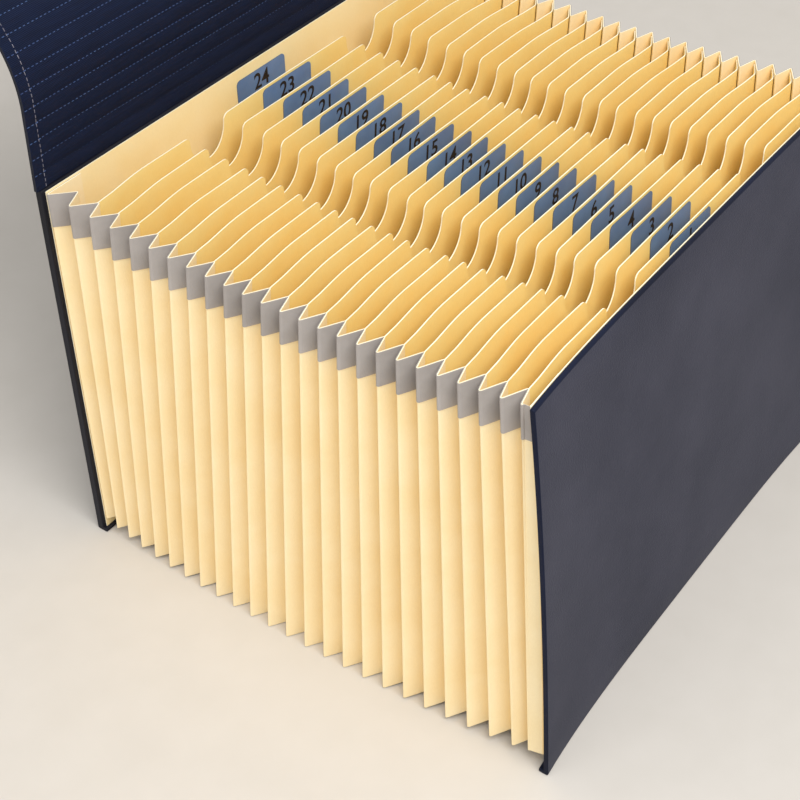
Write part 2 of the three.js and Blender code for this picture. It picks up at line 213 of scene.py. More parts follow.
def make_object(name: str, surface: Surface,
                materials: list[bpy.types.Material]) -> bpy.types.Object:
    """Turns a surface into a smooth piece with sharp creases.

    Args:
        name: Name of the piece.
        surface: The surface.
        materials: One material for each slot number that the surface uses.

    Returns:
        The new object, linked to the scene.
    """
    mesh = bpy.data.meshes.new(name)
    mesh.from_pydata(surface.vertices.tolist(), [], surface.quads.tolist())
    mesh.polygons.foreach_set("material_index", surface.slots.astype(np.int32))
    mesh.polygons.foreach_set("use_smooth", np.ones(len(surface.quads), dtype=bool))
    corner_vertex = np.zeros(len(mesh.loops), dtype=np.int32)
    mesh.loops.foreach_get("vertex_index", corner_vertex)
    layer = mesh.uv_layers.new(name="Flat")
    layer.data.foreach_set("uv", surface.flat[corner_vertex].astype(np.float32).ravel())
    mesh.set_sharp_from_angle(angle=SHEET_CREASE)
    for material in materials:
        mesh.materials.append(material)
    mesh.update()
    return link_object(name, mesh)


@dataclass(frozen=True)
class FoldLayout:
    """Where the folds, dividers and walls stand, from the driving sizes of the solids."""

    pockets: int = 24
    gap: float = 0.3 * MM
    paper: float = 0.6 * MM
    liner: float = 0.6 * MM
    sheet: float = 0.5 * MM
    cover_height: float = 240 * MM
    rear_top: float = 156 * MM
    front_top: float = -130.9 * MM
    rear_foot: float = 149 * MM
    front_foot: float = -152.8 * MM
    top_spread: float = 0.35
    top_fade: float = 4.0
    foot_spread: float = -0.32
    foot_fade: float = 5.0
    side_top: float = 238 * MM
    sag: float = 8.5 * MM
    sole: float = 0.6 * MM
    end_lift: float = 8.4 * MM
    half_width: float = 175 * MM
    bulge: float = 5.5 * MM
    pleat_depth: float = 13 * MM
    inner_share: float = 0.66
    flap_setback: float = 1.1 * MM
    least_keep: float = 0.08

    def fold_lines(self, start: float, end: float, spread: float, fade: float) -> Array:
        """Fold positions from start to end.

        The spacings are 1 + spread * exp(-j / fade) for j = 0, 1, 2 and so on, scaled to fill
        the distance.

        Args:
            start: Position of the rear fold.
            end: Position of the front fold.
            spread: How much the first spacing differs from the last ones.
            fade: Number of folds over which the difference falls away.

        Returns:
            One position for each fold.
        """
        weights = 1.0 + spread * np.exp(-np.arange(self.pockets) / fade)
        steps = np.concatenate([[0.0], np.cumsum(weights)]) / weights.sum()
        return start + (end - start) * steps

    @property
    def shift(self) -> float:
        """How far the frame's origin lies from the middle of the folder's foot, along y."""
        lining = self.raw_wall(0, self.cover_height) + self.cover_seat + self.flap_setback
        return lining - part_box("flap_spine_lower")[0].y

    @property
    def cover_seat(self) -> float:
        """Distance from an end fold's centre to the inner face of its cover."""
        return self.paper / 2 + self.gap + self.liner + self.gap

    def raw_wall(self, fold: int, z: float) -> float:
        """Y of an end fold's line, before the shift to the frame's origin.

        The line is straight from its foot to its top.

        Args:
            fold: Number of the fold, 0 at the rear or the number of pockets at the front.
            z: Height.

        Returns:
            Y at that height.
        """
        top = self.rear_top if fold == 0 else self.front_top
        foot = self.rear_foot if fold == 0 else self.front_foot
        low, high = self.foot_z(fold), self.head_z(fold)
        return foot + (top - foot) * (z - low) / (high - low)

    def wall_y(self, fold: int, z: Array | float) -> Array | float:
        """Y of an end fold's line at height z, in the frame."""
        return self.raw_wall(fold, z) - self.shift

    def top_y(self, place: Array | float) -> Array | float:
        """Y of the fold lines' heads at a place counted in folds from the rear."""
        lines = self.fold_lines(self.rear_top, self.front_top, self.top_spread, self.top_fade)
        return np.interp(place, np.arange(self.pockets + 1), lines) - self.shift

    def foot_y(self, place: Array | float) -> Array | float:
        """Y of the fold lines' feet at a place counted in folds from the rear."""
        lines = self.fold_lines(self.rear_foot, self.front_foot, self.foot_spread, self.foot_fade)
        return np.interp(place, np.arange(self.pockets + 1), lines) - self.shift

    def from_middle(self, place: Array | float) -> Array | float:
        """-1 at the rear cover, 0 at the middle fold, 1 at the front cover."""
        return 2.0 * np.asarray(place) / self.pockets - 1.0

    def head_z(self, place: Array | float) -> Array | float:
        """Height of the paper's top edge: a shallow sag, lowest at the middle."""
        return self.side_top - self.sag * (1.0 - self.from_middle(place) ** 2)

    def foot_z(self, place: Array | float) -> Array | float:
        """Height of the paper's foot, which lifts towards both covers."""
        return self.sole + self.end_lift * np.abs(self.from_middle(place)) ** 3

    def foot_half(self, place: Array | float) -> Array | float:
        """Half the width between the outer folds at their feet, bulging at the middle."""
        return self.half_width + self.bulge * (1.0 - self.from_middle(place) ** 2)

    def seat(self, fold: int, share: float, at_head: bool, closer: float = 0.0) -> Array:
        """Point where a divider's edge lies against the rising panel of its fold.

        It is a share of the way along the panel, moved off it by half the paper, the gap and
        half the sheet.

        Args:
            fold: Number of the fold, from the rear.
            share: Share of the panel's length from its outer fold.
            at_head: True at the top of the panel, False at its foot.
            closer: Distance by which the point lies nearer to the panel.

        Returns:
            The x and y of the point on the left side.
        """
        line = self.top_y if at_head else self.foot_y
        half = self.half_width if at_head else self.foot_half(fold)
        rise = (line(fold + 1) - line(fold)) * self.inner_share
        length = math.hypot(self.pleat_depth, rise)
        away = self.paper / 2 + self.gap + self.sheet / 2 - closer
        x = -half + self.pleat_depth * share - rise / length * away
        y = line(fold) + rise * share + self.pleat_depth / length * away
        return np.array([x, y])

    def sheet_y(self, fold: int, at_head: bool) -> float:
        """Y of the straight part of a divider's sheet, level with the middle of its panel."""
        return float(self.seat(fold, 0.5, at_head)[1])

    def slide(self, fold: int) -> float:
        """How far the sheet on a fold has moved when the folder is fully closed.

        Args:
            fold: Number of the fold, from the rear.

        Returns:
            The distance, which is the cover's travel times the ratio of the sheet's coupling.
        """
        behaviour = frame["record"]["behaviour"]
        travel = next(j for j in behaviour["joints"] if j["name"] == "collapse")["range_m"][1]
        if fold == 0:
            return 0.0
        if fold == self.pockets:
            return travel
        name = f"divider_{self.pockets - fold:02d}_slide"
        ratio = next(c for c in behaviour["couplings"] if c["joint"] == name)["ratio"]
        return travel * ratio

    def body(self, fold: int) -> str:
        """Name of the body that a fold's sheet belongs to.

        Args:
            fold: Number of the fold, from the rear.

        Returns:
            The name, which is the root body's for the fold on the rear cover.
        """
        if fold == 0:
            return ROOT_BODY
        return f"divider_body_{self.pockets - fold:02d}"

    def keep(self, fold: int) -> float:
        """Share of its depth that one pocket's paper keeps when the folder is closed.

        Args:
            fold: Number of the fold behind the pocket.

        Returns:
            1 less the depth lost over the mean of the depths at top and foot, held above the
            least share.
        """
        moved = self.slide(fold + 1) - self.slide(fold)
        top = self.top_y(fold) - self.top_y(fold + 1)
        foot = self.foot_y(fold) - self.foot_y(fold + 1)
        return float(np.clip(1.0 - moved / ((top + foot) / 2), self.least_keep, 1.0))

    def flatten(self, piece: bpy.types.Object, fold: int) -> None:
        """Lets a piece ride with one sheet.

        Args:
            piece: The piece.
            fold: Number of the sheet's fold.
        """
        foot, head = float(self.foot_y(fold)), float(self.top_y(fold))
        if fold:
            foot, head = self.sheet_y(fold, False), self.sheet_y(fold, True)
        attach(piece, self.body(fold))
        self.keep(fold)
        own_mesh(piece)


LAYOUT = FoldLayout()


def rounded_path(corners: Array, reach: float, steps: int) -> Array:
    """Folded path with each fold rounded.

    Each inner corner becomes a parabola that leaves and meets the straight panels a reach away
    from it, sampled at equal steps, with one point in the middle of each panel.

    Args:
        corners: Corner points, shape (n, 2).
        reach: Distance from a corner to where its rounding starts.
        steps: Number of spans in each rounding.

    Returns:
        The samples, shape (count, 2). The point in the middle of the panel after corner i is
        at i * (steps + 2).
    """
    middle = corners[1:-1]
    back = corners[:-2] - middle
    on = corners[2:] - middle
    start = middle + back / np.linalg.norm(back, axis=1, keepdims=True) * reach
    finish = middle + on / np.linalg.norm(on, axis=1, keepdims=True) * reach
    share = np.linspace(0.0, 1.0, steps + 1)[None, :, None]
    bends = (
        (1 - share) ** 2 * start[:, None]
        + 2 * share * (1 - share) * middle[:, None]
        + share**2 * finish[:, None]
    )
    panels = (corners[1:-2] + corners[2:-1]) / 2
    body = np.concatenate([bends[:-1], panels[:, None]], axis=1).reshape(-1, 2)
    return np.vstack([corners[:1], body, bends[-1], corners[-1:]])


# Reach of a rounding that takes a path's corners, such as counts of folds, as they are
NO_ROUNDING = 1e-6


def left_normals(path: Array) -> Array:
    """Unit normals on the left of a path, from the direction between neighbouring points.

    Args:
        path: The points, shape (n, 2).

    Returns:
        One normal for each point, shape (n, 2).
    """
    along = np.gradient(path, axis=0)
    along /= np.linalg.norm(along, axis=1, keepdims=True)
    return np.stack([-along[:, 1], along[:, 0]], axis=1)


def length_along(path: Array) -> Array:
    """Distance from the start of a path to each of its points."""
    steps = np.linalg.norm(np.diff(path, axis=0), axis=1)
    return np.concatenate([[0.0], np.cumsum(steps)])


def ruled_sheet(feet: Array, heads: Array, foot_level: Array, head_level: Array, low: Array,
                high: Array, rows: Array, offset: float) -> Array:
    """Grid of points on a folded wall, moved off its centre by an offset.

    Each column is a straight line from its foot point to its head point. A row is a share of
    the way from the low to the high level.

    Args:
        feet: Plan points at the foot, shape (n, 2).
        heads: Plan points at the head, shape (n, 2).
        foot_level: Height of each foot point.
        head_level: Height of each head point.
        low: Height where each column of the wall starts.
        high: Height where it ends.
        rows: Shares from 0 to 1.
        offset: Distance to the left of the path.

    Returns:
        The points, shape (n, rows, 3).
    """
    foot = feet + left_normals(feet) * offset
    head = heads + left_normals(heads) * offset
    level = low[:, None] + (high - low)[:, None] * rows[None, :]
    share = (level - foot_level[:, None]) / (head_level - foot_level)[:, None]
    plan = foot[:, None, :] + (head - foot)[:, None, :] * share[..., None]
    return np.concatenate([plan, level[..., None]], axis=2)


class NodeTree:
    """Small helper that adds nodes to a material's or a group's tree."""

    def __init__(self, tree: bpy.types.NodeTree) -> None:
        """Keeps the tree that the nodes go into."""
        self.tree = tree

    def add(self, kind: str, inputs: dict | None = None, **settings: object) -> bpy.types.Node:
        """Adds one node.

        Args:
            kind: Blender's name for the node type.
            inputs: Values or sockets for its inputs, by name or number.
            settings: Properties of the node.

        Returns:
            The node.
        """
        node = self.tree.nodes.new(kind)
        for name, value in settings.items():
            setattr(node, name, value)
        for name, value in (inputs or {}).items():
            if isinstance(value, bpy.types.NodeSocket):
                self.tree.links.new(value, node.inputs[name])
            else:
                node.inputs[name].default_value = value
        return node

    def math(self, operation: str, first: object, second: object = 0.0) -> bpy.types.NodeSocket:
        """Result of an operation on one or two values."""
        return self.add("ShaderNodeMath", {0: first, 1: second}, operation=operation).outputs[0]

    def mix(self, share: object, first: object, second: object) -> bpy.types.NodeSocket:
        """Colour that is a share of the way from the first to the second."""
        return self.add("ShaderNodeMix", {0: share, 6: first, 7: second},
                        data_type="RGBA").outputs[2]

    def spread(self, value: bpy.types.NodeSocket, low: float, high: float) -> bpy.types.NodeSocket:
        """Value stretched so that low becomes 0 and high becomes 1, held within them."""
        node = self.add("ShaderNodeMapRange", {"Value": value, "From Min": low, "From Max": high})
        return node.outputs[0]

    def noise(self, place: bpy.types.NodeSocket, scale: object,
              **more: float) -> bpy.types.NodeSocket:
        """Noise around 0.5 at a place and a scale, with its other inputs by name."""
        inputs = {"Vector": place, "Scale": scale, **more}
        return self.add("ShaderNodeTexNoise", inputs).outputs["Fac"]


def colour(red: float, green: float, blue: float) -> Colour:
    """Screen colour as a linear colour for a shader, by the sRGB curve.

    Args:
        red: Red from 0 to 255.
        green: Green from 0 to 255.
        blue: Blue from 0 to 255.

    Returns:
        The linear colour, opaque.
    """
    def linear(part: float) -> float:
        """One channel from screen to linear."""
        share = part / 255.0
        return share / 12.92 if share <= 0.04045 else ((share + 0.055) / 1.055) ** 2.4

    return (linear(red), linear(green), linear(blue), 1.0)


def new_group(name: str, scales: dict[str, float]) -> tuple[NodeTree, dict]:
    """Starts a shader node group that takes two tones and some scales.

    Args:
        name: Name of the group.
        scales: Default value of each scale, by its name.

    Returns:
        The group's helper, and its input sockets by name.
    """
    group = bpy.data.node_groups.new(name, "ShaderNodeTree")
    for label in ("Tone", "Second tone"):
        group.interface.new_socket(label, in_out="INPUT", socket_type="NodeSocketColor")
    for label, value in scales.items():
        socket = group.interface.new_socket(label, in_out="INPUT", socket_type="NodeSocketFloat")
        socket.default_value = value
    group.interface.new_socket("Color", in_out="OUTPUT", socket_type="NodeSocketColor")
    group.interface.new_socket("Height", in_out="OUTPUT", socket_type="NodeSocketFloat")
    tree = NodeTree(group)
    entry = tree.add("NodeGroupInput")
    return tree, {socket.name: socket for socket in entry.outputs}


def close_group(tree: NodeTree, tone: bpy.types.NodeSocket,
                height: bpy.types.NodeSocket) -> bpy.types.NodeTree:
    """Puts a group's colour and height out, and returns the group."""
    tree.add("NodeGroupOutput", {"Color": tone, "Height": height})
    return tree.tree


def paper_group() -> bpy.types.NodeTree:
    """Group for pulp paper: slow cloudiness in colour, and a fine fibre height.

    Returns:
        The group. Its colour mixes two tones by broad noise and takes faint brown flecks, and
        its height is fine noise stretched along z, as fibres lie.
    """
    tree, given = new_group("Paper grain", {"Cloud": 30.0, "Fibre": 1400.0})
    place = tree.add("ShaderNodeTexCoord").outputs["Object"]
    cloud = tree.noise(place, given["Cloud"], Detail=4.0, Roughness=0.6)
    stretched = tree.add("ShaderNodeMapping", {"Vector": place, "Scale": (1.0, 1.0, 0.35)})
    fibre = tree.noise(stretched.outputs[0], given["Fibre"], Detail=3.0)
    tone = tree.mix(tree.spread(cloud, 0.35, 0.65), given["Tone"], given["Second tone"])
    fleck = tree.math("MULTIPLY", tree.spread(fibre, 0.3, 0.8), 0.07)
    return close_group(tree, tree.mix(fleck, tone, (0.55, 0.36, 0.14, 1)), fibre)


def grain_group() -> bpy.types.NodeTree:
    """Group for pressed leatherette: pebbled height and cloudy colour.

    Returns:
        The group. Its height is the distance to the nearest of many scattered points, with
        fine noise added. Its colour mixes two tones by broad noise, and more of the second
        tone shows on the raised pebbles.
    """
    tree, given = new_group("Leatherette grain", {"Pebble": 1100.0})
    place = tree.add("ShaderNodeTexCoord").outputs["Object"]
    pebble = tree.add("ShaderNodeTexVoronoi", {"Vector": place, "Scale": given["Pebble"]})
    fine = tree.noise(place, 900.0, Detail=4.0)
    cloud = tree.noise(place, 9.0, Detail=6.0, Roughness=0.65)
    height = tree.math("ADD", pebble.outputs["Distance"], tree.math("MULTIPLY", fine, 0.8))
    tone = tree.mix(tree.spread(cloud, 0.35, 0.65), given["Tone"], given["Second tone"])
    raised = tree.math("MULTIPLY", tree.spread(height, 0.3, 1.2), 0.25)
    return close_group(tree, tree.mix(raised, tone, given["Second tone"]), height)


def weave_group() -> bpy.types.NodeTree:
    """Group for woven cloth on the flat map: over and under threads with slubs.

    Returns:
        The group. Its height is the size of the product of two sine waves across the flat map,
        with noise stretched along the weft added. Its colour mixes two tones by that height, as
        painted shade in the low hollows and painted highlight on the raised threads.
    """
    tree, given = new_group("Plain weave with painted shade", {"Thread": 0.8 * MM})
    flat = tree.add("ShaderNodeUVMap", uv_map="Flat").outputs[0]
    parts = tree.add("ShaderNodeSeparateXYZ", {0: flat})
    turn = tree.math("DIVIDE", math.pi, given["Thread"])
    weft = tree.math("SINE", tree.math("MULTIPLY", parts.outputs[0], turn))
    warp = tree.math("SINE", tree.math("MULTIPLY", parts.outputs[1], turn))
    over = tree.math("ABSOLUTE", tree.math("MULTIPLY", weft, warp))
    stretched = tree.add("ShaderNodeMapping", {"Vector": flat, "Scale": (60.0, 900.0, 1.0)})
    slub = tree.noise(stretched.outputs[0], 1.0, Detail=3.0)
    height = tree.math("ADD", over, tree.math("MULTIPLY", slub, 0.6))
    # Painted shade and highlight: the first tone fills the weave's low hollows as shade, the
    # second lights its raised threads.
    tone = tree.mix(tree.spread(height, 0.25, 1.25), given["Tone"], given["Second tone"])
    return close_group(tree, tone, height)


@dataclass(frozen=True)
class Finish:
    """One surface finish: two tones of a grain group, a gloss and a bump.

    The scales are the group's own, each by its name, where they differ from its defaults.
    """

    name: str
    tone: Colour
    second: Colour
    roughness: float
    bump: float
    bump_depth: float = 0.2 * MM
    scales: tuple[tuple[str, float], ...] = ()
    coat: float = 0.0
    specular: float = 0.5

    def material(self, group: bpy.types.NodeTree) -> bpy.types.Material:
        """Builds the material around a grain group.

        Args:
            group: Group that gives the colour and the height.

        Returns:
            The material, whose colour and bump come from the group.
        """
        material = bpy.data.materials.new(self.name)
        material.use_nodes = True
        tree = NodeTree(material.node_tree)
        shader = material.node_tree.nodes["Principled BSDF"]
        grain = tree.add("ShaderNodeGroup", node_tree=group)
        grain.inputs["Tone"].default_value = self.tone
        grain.inputs["Second tone"].default_value = self.second
        for name, value in self.scales:
            grain.inputs[name].default_value = value
        bump = tree.add("ShaderNodeBump", {"Strength": self.bump, "Distance": self.bump_depth,
                                           "Height": grain.outputs["Height"]})
        tree.tree.links.new(grain.outputs["Color"], shader.inputs["Base Color"])
        tree.tree.links.new(bump.outputs[0], shader.inputs["Normal"])
        shader.inputs["Roughness"].default_value = self.roughness
        shader.inputs["Coat Weight"].default_value = self.coat
        shader.inputs["Specular IOR Level"].default_value = self.specular
        return material


class FinishSet:
    """All the materials of the folder, each built once."""

    def __init__(self) -> None:
        """Builds the grain groups and the materials."""
        paper, grain, weave = paper_group(), grain_group(), weave_group()
        self.pleats = Finish(
            "pleated paper", colour(255, 236, 193), colour(253, 231, 182),
            roughness=0.8, bump=0.25, specular=0.3).material(paper)
        # The divider paper's deeper orange is partly the paper's own tone and partly painted
        # light: the glow of light passing through and between the sheets deep in the pockets.
        self.sheet = Finish(
            "divider paper with painted glow", colour(255, 229, 152), colour(255, 223, 139),
            roughness=0.75, bump=0.25, specular=0.3).material(paper)
        self.liner = Finish(
            "liner paper", colour(255, 234, 182), colour(253, 229, 170),
            roughness=0.75, bump=0.25, specular=0.3).material(paper)
        self.cut_edge = Finish(
            "cut paper edge", colour(255, 246, 220), colour(252, 240, 206),
            roughness=0.8, bump=0.2, specular=0.3).material(paper)
        self.tape = Finish(
            "edge tape", colour(176, 170, 166), colour(160, 154, 150),
            roughness=0.6, bump=0.35, specular=0.3, scales=(("Fibre", 2200.0),)).material(paper)
        self.label = Finish(
            "label card", colour(104, 140, 188), colour(92, 124, 170),
            roughness=0.42, bump=0.12, coat=0.1).material(paper)
        self.label_edge = Finish(
            "label cut edge", colour(50, 66, 94), colour(42, 56, 82),
            roughness=0.6, bump=0.1).material(paper)
        self.number = Finish(
            "printed number", colour(20, 17, 20), colour(32, 28, 30),
            roughness=0.6, bump=0.1, specular=0.2).material(paper)
        # The charcoal grey of the front face is partly the leatherette's own dark navy and partly
        # painted sheen; the edge binding shows the same leatherette without it.
        self.front_face_painted_sheen = Finish(
            "front leatherette with painted sheen", colour(47, 49, 63), colour(63, 64, 78),
            roughness=0.5, bump=0.5, bump_depth=0.3 * MM, specular=0.1).material(grain)
        self.binding = Finish(
            "edge binding", colour(8, 12, 28), colour(14, 23, 48),
            roughness=0.55, bump=0.3, bump_depth=0.15 * MM, specular=0.16).material(grain)
        self.rear_binding = Finish(
            "rear binding", colour(20, 20, 26), colour(30, 30, 38),
            roughness=0.5, bump=0.3, bump_depth=0.15 * MM, specular=0.16).material(grain)
        self.rear_face = Finish(
            "rear leatherette", colour(15, 18, 30), colour(22, 26, 42),
            roughness=0.5, bump=0.35, bump_depth=0.15 * MM, specular=0.22).material(grain)
        # Near-black first tone and navy second tone, mixed by the weave's height: painted shade in
        # the hollows and painted highlight on the raised threads, over the cloth's own dark navy.
        self.lining = Finish(
            "ribbed lining", colour(8, 8, 15), colour(22, 37, 71),
            roughness=0.7, bump=0.7, bump_depth=0.3 * MM, specular=0.12).material(weave)
        self.thread = Finish(
            "rib thread", colour(56, 84, 138), colour(80, 112, 166),
            roughness=0.55, bump=0.2, specular=0.3).material(paper)
        self.hem_thread = Finish(
            "hem thread", colour(132, 132, 144), colour(112, 110, 122),
            roughness=0.6, bump=0.2, specular=0.3).material(paper)


@dataclass
class Stage:
    """Camera, lights, world and floor.

    The camera stands at an offset from the middle of the flap's foot. Its angles are in
    degrees, and its lens and sensor in millimetres.
    """

    camera_offset: tuple[float, float, float] = (-0.6580, -0.5613, 0.4722)
    azimuth: float = -55.117
    elevation: float = 40.507
    roll: float = 0.319
    lens: float = 74.71
    sensor: float = 36.0
    far_clip: float = 50.0
    lamp_target: tuple[float, float, float] = (0.0, -0.05, 0.15)
    lamp_size: float = 1.2
    key_place: tuple[float, float, float] = (-0.55, -0.95, 1.9)
    key_energy: float = 33.0
    fill_place: tuple[float, float, float] = (-1.5, 0.3, 1.2)
    fill_energy: float = 5.0
    world_strength: float = 0.62
    floor_half: float = 6.0
    floor_tone: Colour = colour(212, 206, 198)
    floor_second: Colour = colour(205, 199, 190)

    def build(self) -> None:
        """Makes the camera, then the lights, the world and the floor."""
        self.make_camera()
        self.make_lights()
        self.make_world()
        self.make_floor()
        log.info("stage ready")

    def make_camera(self) -> None:
        """Points a camera back along its azimuth and elevation, with a slight roll."""
        turn, lift, roll = (math.radians(a) for a in (self.azimuth, self.elevation, self.roll))
        back = Vector((math.sin(turn) * math.cos(lift), -math.cos(turn) * math.cos(lift),
                       math.sin(lift)))
        right = (-back).cross(Vector((0, 0, 1))).normalized()
        up = right.cross(-back)
        level = math.cos(roll) * right + math.sin(roll) * up
        plumb = -math.sin(roll) * right + math.cos(roll) * up
        data = bpy.data.cameras.new("camera")
        data.lens = self.lens
        data.sensor_width = self.sensor
        data.clip_end = self.far_clip
        camera = link_object("camera", data)
        hinge = Vector((0.0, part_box("flap_spine_lower")[0].y, LAYOUT.cover_height))
        place = hinge + Vector(self.camera_offset)
        camera.matrix_world = Matrix((
            (level.x, plumb.x, back.x, place.x),
            (level.y, plumb.y, back.y, place.y),
            (level.z, plumb.z, back.z, place.z),
            (0, 0, 0, 1),
        ))
        bpy.context.scene.camera = camera

    def make_light(self, name: str, place: tuple[float, float, float], energy: float) -> None:
        """Adds a square lamp that looks at the middle of the folder.

        Args:
            name: Name of the lamp.
            place: Where it hangs.
            energy: Its power in watts.
        """
        data = bpy.data.lights.new(name, "AREA")
        data.energy = energy
        data.size = self.lamp_size
        lamp = link_object(name, data)
        aim = Vector(self.lamp_target) - Vector(place)
        lamp.location = place
        lamp.rotation_euler = aim.to_track_quat("-Z", "Y").to_euler()

    def make_lights(self) -> None:
        """A wide key light over the front, and a softer one from the left."""
        self.make_light("key", self.key_place, self.key_energy)
        self.make_light("fill", self.fill_place, self.fill_energy)

    def make_world(self) -> None:
        """Even white surroundings: pure white to the camera, dimmer as a light."""
        world = bpy.data.worlds.new("surroundings")
        world.use_nodes = True
        bpy.context.scene.world = world
        tree = NodeTree(world.node_tree)
        path = tree.add("ShaderNodeLightPath").outputs
        seen = tree.math("MAXIMUM", path["Is Camera Ray"],
                         tree.math("MAXIMUM", path["Is Glossy Ray"], path["Is Transmission Ray"]))
        strength = tree.add("ShaderNodeMapRange", {"Value": seen, "To Min": self.world_strength,
                                                   "To Max": 1.0})
        background = world.node_tree.nodes["Background"]
        background.inputs["Color"].default_value = (1, 1, 1, 1)
        world.node_tree.links.new(strength.outputs[0], background.inputs["Strength"])

    def make_floor(self) -> None:
        """A wide pale floor with a faint mottle."""
        half = self.floor_half
        mesh = bpy.data.meshes.new("floor")
        mesh.from_pydata([(-half, -half, 0), (half, -half, 0), (half, half, 0), (-half, half, 0)],
                         [], [(0, 1, 2, 3)])
        material = bpy.data.materials.new("pale floor")
        material.use_nodes = True
        tree = NodeTree(material.node_tree)
        place = tree.add("ShaderNodeTexCoord").outputs["Object"]
        cloud = tree.noise(place, 40.0, Detail=6.0)
        tone = tree.mix(cloud, self.floor_tone, self.floor_second)
        shader = material.node_tree.nodes["Principled BSDF"]
        material.node_tree.links.new(tone, shader.inputs["Base Color"])
        shader.inputs["Roughness"].default_value = 0.85
        mesh.materials.append(material)
        floor = link_object("floor", mesh)


@dataclass(frozen=True)
class Warp:
    """How a cover bends away from the paper: a bow up its height and a curl at its sides.

    The middle share is how much of the bow the middle of the cover has, and the top loss is
    how much of the curl is gone at the top edge.
    """

    bow: float = 0.0
    curl: float = 0.0
    half_width: float = 177 * MM
    middle_share: float = 0.4
    top_loss: float = 0.25

    def at(self, x: Array, z: Array) -> Array:
        """Distance outwards at x and z.

        The bow is a parabola in z, zero at top and foot. Both the bow and the curl grow from
        the middle to the sides as the fourth power of x.

        Args:
            x: Places across the cover.
            z: Heights.

        Returns:
            The distance at each point.
        """
        share = np.clip(z / LAYOUT.cover_height, 0.0, 1.0)
        side = np.abs(x / self.half_width) ** 4
        reach = lerp(self.middle_share, 1.0, side)
        return (4.0 * self.bow * share * (1.0 - share) * reach
                + self.curl * side * (1.0 - self.top_loss * share**4))


